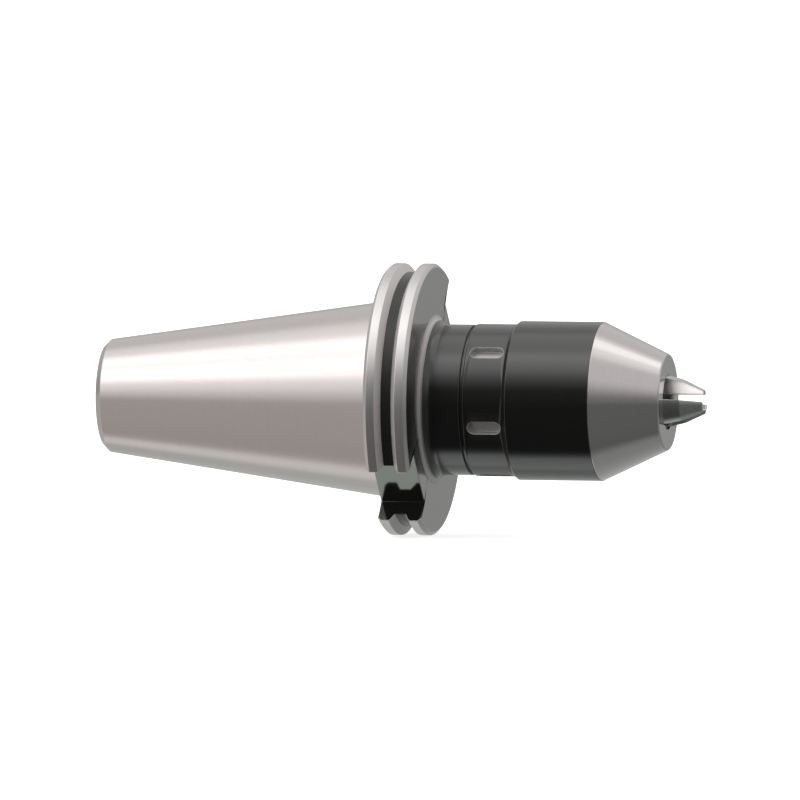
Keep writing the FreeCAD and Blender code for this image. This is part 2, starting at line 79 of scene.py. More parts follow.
class NodeBench:
    """Places and joins shader nodes in one node tree."""

    COLUMN_WIDTH = 190
    ROW_DROP = 60
    ROWS = 3

    def __init__(self, tree: bpy.types.NodeTree) -> None:
        """Start on a node tree.

        Args:
            tree: the tree that new nodes go into.
        """
        self.tree = tree
        self.column = 0

    def add(self, kind: str, **settings: object) -> bpy.types.Node:
        """Add one node.

        Args:
            kind: Blender's name of the node type.
            **settings: properties of the node.

        Returns:
            The new node.
        """
        node = self.tree.nodes.new(kind)
        node.location = (self.column * self.COLUMN_WIDTH, -(self.column % self.ROWS) * self.ROW_DROP)
        self.column += 1
        for name, value in settings.items():
            setattr(node, name, value)
        return node

    def feed(self, socket: bpy.types.NodeSocket, source: object) -> None:
        """Join a socket to another one, or give it a plain value.

        Args:
            socket: the input socket.
            source: an output socket, a number or a sequence of numbers.
        """
        if isinstance(source, bpy.types.NodeSocket):
            self.tree.links.new(source, socket)
        else:
            socket.default_value = source

    def math(self, operation: str, *values: object, clamp: bool = False) -> bpy.types.NodeSocket:
        """Add a Math node.

        Args:
            operation: Blender's name of the operation.
            *values: sockets or numbers for its inputs.
            clamp: whether the result stays between 0 and 1.

        Returns:
            The node's output socket.
        """
        node = self.add("ShaderNodeMath", operation=operation, use_clamp=clamp)
        for socket, value in zip(node.inputs, values):
            self.feed(socket, value)
        return node.outputs[0]

    def total(self, first: object, second: object, clamp: bool = False) -> bpy.types.NodeSocket:
        """Sum of two values, held between 0 and 1 on request."""
        return self.math("ADD", first, second, clamp=clamp)

    def product(self, first: object, second: object, clamp: bool = False) -> bpy.types.NodeSocket:
        """Product of two values, held between 0 and 1 on request."""
        return self.math("MULTIPLY", first, second, clamp=clamp)

    def place(self) -> bpy.types.NodeSocket:
        """Place on the surface in the object's own frame."""
        return self.add("ShaderNodeTexCoord").outputs["Object"]

    def split(self, vector: bpy.types.NodeSocket) -> list[bpy.types.NodeSocket]:
        """Take a vector apart.

        Args:
            vector: the vector's socket.

        Returns:
            Sockets of its X, Y and Z.
        """
        node = self.add("ShaderNodeSeparateXYZ")
        self.feed(node.inputs[0], vector)
        return list(node.outputs)

    def surface(self, kind: str, source: bpy.types.NodeSocket) -> None:
        """Feed a shader to the surface of an output node of the given kind."""
        self.feed(self.add(kind).inputs["Surface"], source)

    def remap(self, value: object, low: float, high: float, to_low: object, to_high: object,
              smooth: bool = True) -> bpy.types.NodeSocket:
        """Map one range of a value to another, held at both ends.

        Args:
            value: the value to map.
            low: start of the range it has.
            high: end of the range it has.
            to_low: result at the start.
            to_high: result at the end.
            smooth: whether it eases in and out.

        Returns:
            The mapped value's socket.
        """
        node = self.add("ShaderNodeMapRange", interpolation_type="SMOOTHSTEP" if smooth else "LINEAR")
        for name, source in (("Value", value), ("From Min", low), ("From Max", high),
                             ("To Min", to_low), ("To Max", to_high)):
            self.feed(node.inputs[name], source)
        return node.outputs["Result"]

    def mix_colour(self, factor: object, first: object, second: object) -> bpy.types.NodeSocket:
        """Mix two colours.

        Args:
            factor: share of the second colour.
            first: colour at factor 0.
            second: colour at factor 1.

        Returns:
            The mixed colour's socket.
        """
        node = self.add("ShaderNodeMix", data_type="RGBA")
        self.feed(node.inputs[0], factor)
        self.feed(node.inputs[6], first)
        self.feed(node.inputs[7], second)
        return node.outputs[2]

    def noise(self, vector: object, scale: float, detail: float, w: object = None) -> bpy.types.NodeSocket:
        """Add a noise texture.

        Args:
            vector: where it is read.
            scale: how fine it is.
            detail: how many octaves it has.
            w: fourth coordinate, if it has one.

        Returns:
            The noise value's socket, around 0.5.
        """
        node = self.add("ShaderNodeTexNoise", noise_dimensions="3D" if w is None else "4D")
        self.feed(node.inputs["Vector"], vector)
        self.feed(node.inputs["Scale"], scale)
        self.feed(node.inputs["Detail"], detail)
        if w is not None:
            self.feed(node.inputs["W"], w)
        return node.outputs["Fac"]


def effect_group(name: str, inputs: dict[str, float], outputs: Sequence[str],
                 fill: Callable[[NodeBench, Sockets], Sockets]) -> bpy.types.NodeTree:
    """Build a shader node group once and give the same one back later.

    Args:
        name: the group's name.
        inputs: input names and their default values.
        outputs: output names.
        fill: builds the nodes; it takes a bench and the input sockets, and returns the outputs.

    Returns:
        The node group.
    """
    known = bpy.data.node_groups.get(name)
    if known is not None:
        return known
    group = bpy.data.node_groups.new(name, "ShaderNodeTree")
    for label, value in inputs.items():
        socket = group.interface.new_socket(label, in_out="INPUT", socket_type="NodeSocketFloat")
        socket.default_value = value
    for label in outputs:
        group.interface.new_socket(label, in_out="OUTPUT", socket_type="NodeSocketFloat")
    bench = NodeBench(group)
    entry = bench.add("NodeGroupInput")
    results = fill(bench, {label: entry.outputs[label] for label in inputs})
    leave = bench.add("NodeGroupOutput")
    for label, socket in results.items():
        bench.feed(leave.inputs[label], socket)
    return group


def turning_grain_nodes(bench: NodeBench, given: Sockets) -> Sockets:
    """Nodes of the turning_grain group.

    Args:
        bench: where they go.
        given: Lines and Waver.

    Returns:
        Height and Tone.
    """
    along, side, up = bench.split(bench.place())
    angle = bench.math("ARCTAN2", up, side)
    radius = bench.math("SQRT", bench.total(bench.product(side, side), bench.product(up, up)))
    join = bench.add("ShaderNodeCombineXYZ")
    bench.feed(join.inputs[0], bench.product(along, given["Lines"]))
    bench.feed(join.inputs[1], bench.product(bench.math("COSINE", angle), given["Waver"]))
    bench.feed(join.inputs[2], bench.product(bench.math("SINE", angle), given["Waver"]))
    across = bench.product(radius, given["Lines"])
    fine = bench.noise(join.outputs[0], 1.0, 3.0, across)
    broad = bench.noise(join.outputs[0], 0.13, 2.0, bench.product(across, 0.5))
    return {"Height": fine, "Tone": bench.total(bench.product(fine, 0.4), bench.product(broad, 0.6))}


def turning_grain() -> bpy.types.NodeTree:
    """Fine rings that a lathe or grinder leaves round the chuck axis.

    Returns:
        A group with inputs Lines (per metre) and Waver, and outputs Height and Tone.
    """
    return effect_group("turning_grain", {"Lines": 3000.0, "Waver": 0.6}, ("Height", "Tone"),
                        turning_grain_nodes)


def edge_polish_nodes(bench: NodeBench, given: Sockets) -> Sockets:
    """Nodes of the edge_polish group.

    Args:
        bench: where they go.
        given: Amount and Breakup.

    Returns:
        Mask.
    """
    edge = bench.add("ShaderNodeAttribute", attribute_name="wear").outputs["Fac"]
    patches = bench.noise(bench.place(), 420.0, 3.0)
    broken = bench.remap(patches, 0.3, 0.62, bench.math("SUBTRACT", 1.0, given["Breakup"]), 1.0)
    return {"Mask": bench.product(bench.product(edge, broken), given["Amount"], clamp=True)}


def edge_polish() -> bpy.types.NodeTree:
    """Bright, broken wear on rounded edges.

    Returns:
        A group with inputs Amount and Breakup, and output Mask.
    """
    return effect_group("edge_polish", {"Amount": 0.5, "Breakup": 0.5}, ("Mask",), edge_polish_nodes)


def handling_marks_nodes(bench: NodeBench, given: Sockets) -> Sockets:
    """Nodes of the handling_marks group.

    Args:
        bench: where they go.
        given: Smudge and Scratch.

    Returns:
        Mask and Height.
    """
    place = bench.place()
    cloud = bench.remap(bench.noise(place, 55.0, 4.0), 0.35, 0.7, 0.0, 1.0)
    stretch = bench.add("ShaderNodeMapping")
    bench.feed(stretch.inputs["Vector"], place)
    bench.feed(stretch.inputs["Rotation"], (0.3, 0.5, 0.9))
    bench.feed(stretch.inputs["Scale"], (60.0, 2600.0, 2600.0))
    lines = bench.remap(bench.noise(stretch.outputs[0], 1.0, 1.0), 0.70, 0.76, 0.0, 1.0)
    scratch = bench.product(lines, given["Scratch"])
    smudge = bench.product(cloud, given["Smudge"])
    return {"Mask": bench.total(smudge, scratch, clamp=True), "Height": bench.product(scratch, -1.0)}


def handling_marks() -> bpy.types.NodeTree:
    """Soft smudges from hands and oil, with sparse fine scratches.

    Returns:
        A group with inputs Smudge and Scratch, and outputs Mask and Height.
    """
    return effect_group("handling_marks", {"Smudge": 0.5, "Scratch": 0.2}, ("Mask", "Height"),
                        handling_marks_nodes)


def fine_mottle_nodes(bench: NodeBench, given: Sockets) -> Sockets:
    """Nodes of the fine_mottle group.

    Args:
        bench: where they go.
        given: Scale and Contrast.

    Returns:
        Mask and Height.
    """
    scaled = bench.add("ShaderNodeVectorMath", operation="SCALE")
    bench.feed(scaled.inputs[0], bench.place())
    bench.feed(scaled.inputs["Scale"], given["Scale"])
    grain = bench.noise(scaled.outputs[0], 1.0, 3.0)
    half_contrast = bench.product(given["Contrast"], 0.5)
    low = bench.math("SUBTRACT", 0.5, half_contrast)
    high = bench.total(0.5, half_contrast)
    return {"Mask": bench.remap(grain, 0.3, 0.7, low, high), "Height": grain}


def fine_mottle() -> bpy.types.NodeTree:
    """Grain of a blasted, blackened or moulded surface.

    Returns:
        A group with inputs Scale and Contrast, and outputs Mask and Height.
    """
    return effect_group("fine_mottle", {"Scale": 1800.0, "Contrast": 1.0}, ("Mask", "Height"),
                        fine_mottle_nodes)


# ------------------------------------------------------------------------- finishes


@dataclass(frozen=True)
class Finish:
    """One metal or rubber finish made from the shared effects.

    Colours are linear.  Heights are in millimetres.

    Attributes:
        name: the material's name.
        colour: colour where the tone is low.
        tone_colour: colour where the tone is high.
        worn_colour: colour of the polished edges.
        metallic: how metallic it is away from the worn edges.
        rough: middle of its roughness.
        rough_spread: how much the roughness varies.
        specular: strength of its reflection where it isn't metal.
        lines_per_metre: how close the turning lines are.
        waver: how much the turning lines change on the way round.
        grain_height: height of the turning lines.
        mottle_scale: how fine the mottle is.
        mottle_height: height of the mottle.
        wear_amount: how strongly edges are polished.
        wear_breakup: how patchy that polish is.
        smudge: how strong the smudges are.
        scratch: how strong the scratches are.
        scratch_depth: depth of the scratches.
        grain_share: share of the turning lines in the tone; the mottle has the rest.
    """

    name: str
    colour: tuple[float, float, float]
    tone_colour: tuple[float, float, float]
    worn_colour: tuple[float, float, float]
    metallic: float
    rough: float
    rough_spread: float
    specular: float = 0.5
    lines_per_metre: float = 3000.0
    waver: float = 0.6
    grain_height: float = 0.002
    mottle_scale: float = 1800.0
    mottle_height: float = 0.001
    wear_amount: float = 0.5
    wear_breakup: float = 0.5
    smudge: float = 0.4
    scratch: float = 0.15
    scratch_depth: float = 0.002
    grain_share: float = 0.6

    def place(self, bench: NodeBench, group: bpy.types.NodeTree, **values: float) -> bpy.types.Node:
        """Put an effect group into this material.

        Args:
            bench: where it goes.
            group: the effect.
            **values: values of its inputs.

        Returns:
            The group node.
        """
        node = bench.add("ShaderNodeGroup")
        node.node_tree = group
        for label, value in values.items():
            node.inputs[label].default_value = value
        return node

    def build(self) -> bpy.types.Material:
        """Make the material, or find it if it is already made.

        Returns:
            The material.
        """
        known = bpy.data.materials.get(self.name)
        if known is not None:
            return known
        material = bpy.data.materials.new(self.name)
        material.use_nodes = True
        tree = material.node_tree
        tree.nodes.clear()
        bench = NodeBench(tree)
        grain = self.place(bench, turning_grain(), Lines=self.lines_per_metre, Waver=self.waver)
        wear = self.place(bench, edge_polish(), Amount=self.wear_amount, Breakup=self.wear_breakup)
        marks = self.place(bench, handling_marks(), Smudge=self.smudge, Scratch=self.scratch)
        mottle = self.place(bench, fine_mottle(), Scale=self.mottle_scale, Contrast=1.0)
        tone = bench.total(bench.product(grain.outputs["Tone"], self.grain_share),
                           bench.product(mottle.outputs["Mask"], 1.0 - self.grain_share))
        base = bench.mix_colour(tone, (*self.colour, 1.0), (*self.tone_colour, 1.0))
        base = bench.mix_colour(wear.outputs["Mask"], base, (*self.worn_colour, 1.0))
        spread = bench.total(bench.product(tone, 0.5), bench.product(marks.outputs["Mask"], 0.5))
        rough = bench.total(self.rough - self.rough_spread / 2,
                            bench.product(spread, self.rough_spread), clamp=True)
        height = bench.total(bench.product(grain.outputs["Height"], self.grain_height * MM),
                             bench.product(mottle.outputs["Height"], self.mottle_height * MM))
        height = bench.total(height, bench.product(marks.outputs["Height"], self.scratch_depth * MM))
        bump = bench.add("ShaderNodeBump")
        bump.inputs["Distance"].default_value = 1.0
        bump.inputs["Strength"].default_value = 1.0
        bench.feed(bump.inputs["Height"], height)
        shader = bench.add("ShaderNodeBsdfPrincipled")
        bench.feed(shader.inputs["Base Color"], base)
        bench.feed(shader.inputs["Roughness"], rough)
        bench.feed(shader.inputs["Normal"], bump.outputs["Normal"])
        if self.wear_amount > 0 and self.metallic < 0.5:
            bench.feed(shader.inputs["Metallic"],
                       bench.math("MAXIMUM", wear.outputs["Mask"], self.metallic))
        else:
            shader.inputs["Metallic"].default_value = self.metallic
        shader.inputs["Specular IOR Level"].default_value = self.specular
        bench.surface("ShaderNodeOutputMaterial", shader.outputs[0])
        return material


GROUND_STEEL = Finish("ground_taper_steel", (0.57, 0.54, 0.53), (0.64, 0.605, 0.595), (0.78, 0.77, 0.76),
                      metallic=0.97, rough=0.20, rough_spread=0.05, lines_per_metre=4200.0,
                      grain_height=0.0007, smudge=0.25, scratch=0.02, wear_amount=0.5)
FLANGE_STEEL = Finish("turned_flange_face", (0.45, 0.425, 0.425), (0.50, 0.475, 0.47), (0.76, 0.75, 0.74),
                      metallic=0.97, rough=0.15, rough_spread=0.05, lines_per_metre=2600.0,
                      grain_height=0.0006, smudge=0.25, scratch=0.03, wear_amount=0.6)
RIM_STEEL = Finish("turned_flange_rim", (0.62, 0.61, 0.605), (0.69, 0.68, 0.67), (0.86, 0.85, 0.84),
                   metallic=0.97, rough=0.33, rough_spread=0.05, lines_per_metre=2600.0,
                   grain_height=0.0002, smudge=0.2, scratch=0.02, wear_amount=0.5)
SATIN_STEEL = Finish("satin_cut_steel", (0.72, 0.70, 0.69), (0.78, 0.755, 0.745), (0.86, 0.85, 0.84),
                     metallic=0.45, rough=0.45, rough_spread=0.08, lines_per_metre=2600.0,
                     grain_height=0.0006, smudge=0.2, scratch=0.02, wear_amount=0.5)
# Drive slots: the flange's steel darkened to near black, painted shade that stands for the dark hollows of
# the slots' floors and walls.
SHADED_SLOT_STEEL = Finish("drive_slot_painted_shade", (0.19, 0.20, 0.185), (0.23, 0.24, 0.225), (0.50, 0.49, 0.48),
                    metallic=0.97, rough=0.11, rough_spread=0.04, lines_per_metre=2200.0,
                    grain_height=0.0004, smudge=0.2, scratch=0.02, wear_amount=0.2)
NOSE_STEEL = Finish("ground_nose_steel", (0.57, 0.545, 0.54), (0.64, 0.61, 0.605), (0.80, 0.79, 0.78),
                    metallic=0.97, rough=0.13, rough_spread=0.04, lines_per_metre=3600.0,
                    grain_height=0.0007, smudge=0.25, scratch=0.03, wear_amount=0.6)
GROOVE_BLACK = Finish("blackened_grip_groove", (0.008, 0.0085, 0.007), (0.014, 0.015, 0.012),
                      (0.35, 0.34, 0.33), metallic=0.0, rough=0.30, rough_spread=0.12, lines_per_metre=1500.0,
                      grain_height=0.002, wear_amount=0.3, wear_breakup=0.7, smudge=0.3, scratch=0.03)
BLACK_OXIDE = Finish("black_oxide_satin", (0.0035, 0.004, 0.003), (0.0065, 0.007, 0.0055),
                     (0.22, 0.215, 0.205), metallic=0.0, rough=0.17, rough_spread=0.06, specular=1.0,
                     lines_per_metre=3000.0, grain_height=0.0006, mottle_scale=2600.0, mottle_height=0.0004,
                     wear_amount=0.4, wear_breakup=0.7, smudge=0.3, scratch=0.03)
BARE_SLOT = Finish("milled_spanner_slot", (0.46, 0.455, 0.45), (0.53, 0.52, 0.51), (0.75, 0.74, 0.73),
                   metallic=0.55, rough=0.40, rough_spread=0.08, lines_per_metre=2600.0,
                   grain_height=0.0008, wear_amount=0.7, wear_breakup=0.2, smudge=0.2, scratch=0.02)
JAW_BACK = Finish("ground_jaw_back", (0.50, 0.515, 0.50), (0.56, 0.575, 0.56), (0.74, 0.73, 0.72),
                  metallic=0.97, rough=0.27, rough_spread=0.05, lines_per_metre=5200.0,
                  grain_height=0.0006, wear_amount=0.12, smudge=0.2, scratch=0.02)
# Jaw flanks and feet: the jaw steel made near white, a painted highlight that keeps them bright where the
# backs, in the same steel, stay darker.
JAW_FLANK_HIGHLIGHT = Finish("jaw_flank_painted_highlight", (0.92, 0.90, 0.895), (0.97, 0.95, 0.945), (0.92, 0.91, 0.90),
                   metallic=0.90, rough=0.27, rough_spread=0.05, lines_per_metre=6000.0,
                   grain_height=0.0006, wear_amount=0.2, smudge=0.2, scratch=0.02)
HARDENED = Finish("hardened_inner_steel", (0.46, 0.455, 0.45), (0.55, 0.545, 0.54), (0.78, 0.77, 0.76),
                  metallic=0.95, rough=0.26, rough_spread=0.10, lines_per_metre=3200.0)
BRONZE = Finish("turned_bronze", (0.58, 0.36, 0.14), (0.70, 0.46, 0.20), (0.80, 0.58, 0.30),
                metallic=1.0, rough=0.30, rough_spread=0.12, lines_per_metre=2400.0)
RUBBER = Finish("seal_rubber_matt", (0.012, 0.012, 0.012), (0.026, 0.025, 0.024), (0.05, 0.05, 0.05),
                metallic=0.0, rough=0.62, rough_spread=0.20, lines_per_metre=900.0,
                mottle_scale=3200.0, mottle_height=0.004, wear_amount=0.0, scratch=0.0)


# ----------------------------------------------------------------------------- mesh

# Points closer than this, in metres, become one.
WELD_DISTANCE = 1e-7

# A corner is left alone where its half angle is nearly straight, and a round takes up no more
# than its share of either side.  Only outward rounds smaller than the worn radius show wear.
NEARLY_STRAIGHT = math.radians(89.5)
ROUND_SHARE = 0.48
WORN_RADIUS = 1.5
ARC_STEP = 0.35
FEWEST_STEPS = 3
MOST_STEPS = 12

# Length of the helper stretches that lead in and out of an open outline.
RUN_IN = 1.0

# How far turned edges are broken.
HAIR_EDGE = 0.05
CRISP_EDGE = 0.1
SMALL_EDGE = 0.2
SOFT_EDGE = 0.3

# Rounds of a softened outline: their longest share of a side, and the wear along them.
SOFT_SHARE = 0.45
SOFT_WEAR = (0.2, 0.8, 0.8, 0.2)


@dataclass(frozen=True)
class Corner:
    """A corner of a turned outline.

    Attributes:
        x: place along the chuck axis.
        r: distance from the axis.
        blend: radius that the corner is rounded to.
    """

    x: float
    r: float
    blend: float = 0.0


@dataclass(frozen=True)
class Stop:
    """A point of a rounded outline, and how much wear its edge shows."""

    x: float
    r: float
    wear: float = 0.0


def round_corner(before: Corner, here: Corner, after: Corner) -> list[Stop]:
    """Round one corner of an outline that has its metal on the right.

    Args:
        before: the corner before it.
        here: the corner to round.
        after: the corner after it.

    Returns:
        The points of the rounded corner, in order.
    """
    if here.blend <= 0:
        return [Stop(here.x, here.r)]
    middle = np.array([here.x, here.r])
    back = np.array([before.x, before.r]) - middle
    ahead = np.array([after.x, after.r]) - middle
    back_length, ahead_length = np.linalg.norm(back), np.linalg.norm(ahead)
    back, ahead = back / back_length, ahead / ahead_length
    half = math.acos(max(-1.0, min(1.0, float(back @ ahead)))) / 2
    if half > NEARLY_STRAIGHT:
        return [Stop(here.x, here.r)]
    longest = ROUND_SHARE * min(back_length, ahead_length)
    reach = min(here.blend / math.tan(half), longest)
    radius = reach * math.tan(half)
    towards = (back + ahead) / np.linalg.norm(back + ahead)
    centre = middle + towards * radius / math.sin(half)
    start = middle + back * reach - centre
    end = middle + ahead * reach - centre
    first = math.atan2(start[1], start[0])
    sweep = math.atan2(end[1], end[0]) - first
    sweep = (sweep + math.pi) % FULL_TURN - math.pi
    worn = sweep < 0 and radius < WORN_RADIUS
    steps = max(FEWEST_STEPS, min(MOST_STEPS, int(abs(sweep) * radius / ARC_STEP) + FEWEST_STEPS))
    stops = []
    for index in range(steps + 1):
        share = index / steps
        angle = first + sweep * share
        wear = math.sin(math.pi * share) if worn else 0.0
        stops.append(Stop(centre[0] + radius * math.cos(angle), centre[1] + radius * math.sin(angle), wear))
    return stops


def rounded_outline(corners: Sequence[Corner], closed: bool) -> list[Stop]:
    """Round every corner of an outline.

    Args:
        corners: its corners, with the metal on the right of the way they run.
        closed: whether the last corner joins the first.

    Returns:
        The rounded outline.
    """
    stops: list[Stop] = []
    count = len(corners)
    for index, here in enumerate(corners):
        at_end = index in (0, count - 1)
        if at_end and not closed:
            stops.append(Stop(here.x, here.r))
            continue
        stops += round_corner(corners[index - 1], here, corners[(index + 1) % count])
    return stops


@dataclass
class Band:
    """A ring of a skin, with the band of faces that leads up to it.

    Attributes:
        points: the ring's points.
        wear: edge wear of the ring, or of each of its points.
        zones: material number of the band, or of each of its faces.
    """

    points: np.ndarray
    wear: float | np.ndarray = 0.0
    zones: int | Sequence[int] = 0


class Skin:
    """Rings of points and the faces between them, gathered into one mesh."""

    def __init__(self, count: int) -> None:
        """Start an empty skin.

        Args:
            count: how many points each ring has.
        """
        self.count = count
        self.points: list[np.ndarray] = []
        self.wear: list[float] = []
        self.faces: list[tuple[int, ...]] = []
        self.zones: list[int] = []

    def ring(self, points: np.ndarray, wear: float | np.ndarray = 0.0) -> int:
        """Add a closed ring of points.

        Args:
            points: an array of count by 3, in millimetres.
            wear: edge wear of the ring, or of each of its points.

        Returns:
            The number of its first point.
        """
        start = len(self.points)
        self.points += list(points)
        self.wear += list(np.broadcast_to(np.asarray(wear, float), (self.count,)))
        return start

    def bridge(self, first: int, second: int, zones: int | Sequence[int] = 0) -> None:
        """Join two rings with a band of faces.

        Args:
            first: start of one ring.
            second: start of the other.
            zones: material number of the band, or of each of its faces.
        """
        for index in range(self.count):
            after = (index + 1) % self.count
            self.faces.append((first + index, first + after, second + after, second + index))
            self.zones.append(zones if isinstance(zones, int) else zones[index])

    def chain(self, bands: Sequence[Band]) -> int:
        """Add rings one after another, each joined to the one before it.

        Args:
            bands: the rings, in order.

        Returns:
            The number of the last ring's first point.
        """
        previous = self.ring(bands[0].points, bands[0].wear)
        for band in bands[1:]:
            start = self.ring(band.points, band.wear)
            self.bridge(previous, start, band.zones)
            previous = start
        return previous

    def absorb(self, other: "Skin") -> None:
        """Take over everything in another skin.

        Args:
            other: the other skin; its rings may have another count.
        """
        offset = len(self.points)
        self.points += other.points
        self.wear += other.wear
        self.faces += [tuple(index + offset for index in face) for face in other.faces]
        self.zones += other.zones

    def lid(self, start: int, zone: int = 0) -> None:
        """Close a ring with one flat face.

        Args:
            start: start of the ring.
            zone: material number of the face.
        """
        self.faces.append(tuple(range(start, start + self.count)))
        self.zones.append(zone)

    def build(self, name: str, finishes: Sequence[Finish]) -> bpy.types.Object:
        """Turn the skin into an object with smooth, area-weighted normals.

        Args:
            name: the object's name.
            finishes: its finishes, in the order of the zone numbers.

        Returns:
            The new object.
        """
        mesh = bpy.data.meshes.new(name)
        mesh.from_pydata((np.array(self.points) * MM).tolist(), [], self.faces)
        mesh.polygons.foreach_set("material_index", self.zones)
        mesh.attributes.new("wear", "FLOAT", "POINT").data.foreach_set("value", self.wear)
        work = bmesh.new()
        work.from_mesh(mesh)
        bmesh.ops.remove_doubles(work, verts=work.verts, dist=WELD_DISTANCE)
        bmesh.ops.dissolve_degenerate(work, edges=work.edges, dist=WELD_DISTANCE)
        bmesh.ops.recalc_face_normals(work, faces=work.faces)
        work.to_mesh(mesh)
        work.free()
        for finish in finishes:
            mesh.materials.append(finish.build())
        weigh_normals(mesh)
        piece = bpy.data.objects.new(name, mesh)
        bpy.context.scene.collection.objects.link(piece)
        return piece


def weigh_normals(mesh: bpy.types.Mesh) -> None:
    """Shade a mesh smooth, with each point's normal weighted by the faces' areas.

    Args:
        mesh: the mesh to shade.
    """
    faces = len(mesh.polygons)
    normal = np.empty(faces * 3)
    area = np.empty(faces)
    sizes = np.empty(faces, dtype=np.int32)
    corner_points = np.empty(len(mesh.loops), dtype=np.int32)
    mesh.polygons.foreach_get("normal", normal)
    mesh.polygons.foreach_get("area", area)
    mesh.polygons.foreach_get("loop_total", sizes)
    mesh.loops.foreach_get("vertex_index", corner_points)
    pull = np.repeat(normal.reshape(-1, 3) * area[:, None], sizes, axis=0)
    total = np.zeros((len(mesh.vertices), 3))
    np.add.at(total, corner_points, pull)
    total /= np.maximum(np.linalg.norm(total, axis=1, keepdims=True), 1e-20)
    mesh.shade_smooth()
    mesh.normals_split_custom_set_from_vertices(total.tolist())


def shares(count: int) -> list[float]:
    """Even shares from 0 up to, but not including, 1."""
    return [index / count for index in range(count)]


def circle_ring(x: float, radius: float | np.ndarray, angles: np.ndarray) -> np.ndarray:
    """Points round the chuck axis.

    Args:
        x: place along the axis.
        radius: distance from the axis, or one for each point.
        angles: angle of each point from +Y towards +Z, in radians.

    Returns:
        An array of points.
    """
    return np.column_stack([np.full(len(angles), x), radius * np.cos(angles), radius * np.sin(angles)])


def spin(points: Sequence[tuple[float, float, float]], degrees: float) -> np.ndarray:
    """Turn points about the chuck axis.

    Args:
        points: points as (x, height, side).
        degrees: angle from +Y towards +Z that their height takes.

    Returns:
        An array of points.
    """
    turn = math.radians(degrees)
    cos, sin = math.cos(turn), math.sin(turn)
    return np.array([(x, height * cos - side * sin, height * sin + side * cos) for x, height, side in points])


def lathe(name: str, corners: Sequence[Corner], finish: Finish, segments: int = 216) -> bpy.types.Object:
    """Turn a closed outline about the chuck axis.

    Args:
        name: the object's name.
        corners: the outline, with the metal on the right of the way it runs.
        finish: its finish.
        segments: how many facets go round.

    Returns:
        The turned object.
    """
    angles = np.arange(segments) * FULL_TURN / segments
    stops = rounded_outline(corners, closed=True)
    skin = Skin(segments)
    last = skin.chain([Band(circle_ring(stop.x, stop.r, angles), stop.wear) for stop in stops])
    skin.bridge(last, 0)
    return skin.build(name, [finish])


def settle(piece: bpy.types.Object, node: str, body: Body, slot: Slot) -> None:
    """Put a finished piece in the place of a CAD node and report it.

    Args:
        piece: the visible piece.
        node: the CAD node that it stands for.
        body: the body that it rides on.
        slot: its finish slot in the record; not used.
    """
    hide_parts(node)
    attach(piece, body.value)
    LOG.info("%s stands for %s, with %d faces", piece.name, node, len(piece.data.polygons))


# ----------------------------------------------------------------------- the pieces


class Zone(IntEnum):
    """Finishes of the shank, numbered in the order of its materials."""

    STEEL = 0
    FLANGE = 1
    # Faces of the drive slots, which take steel darkened as painted shade.
    SLOT = 2
    BLACK = 3
    RIM = 4
    SATIN = 5


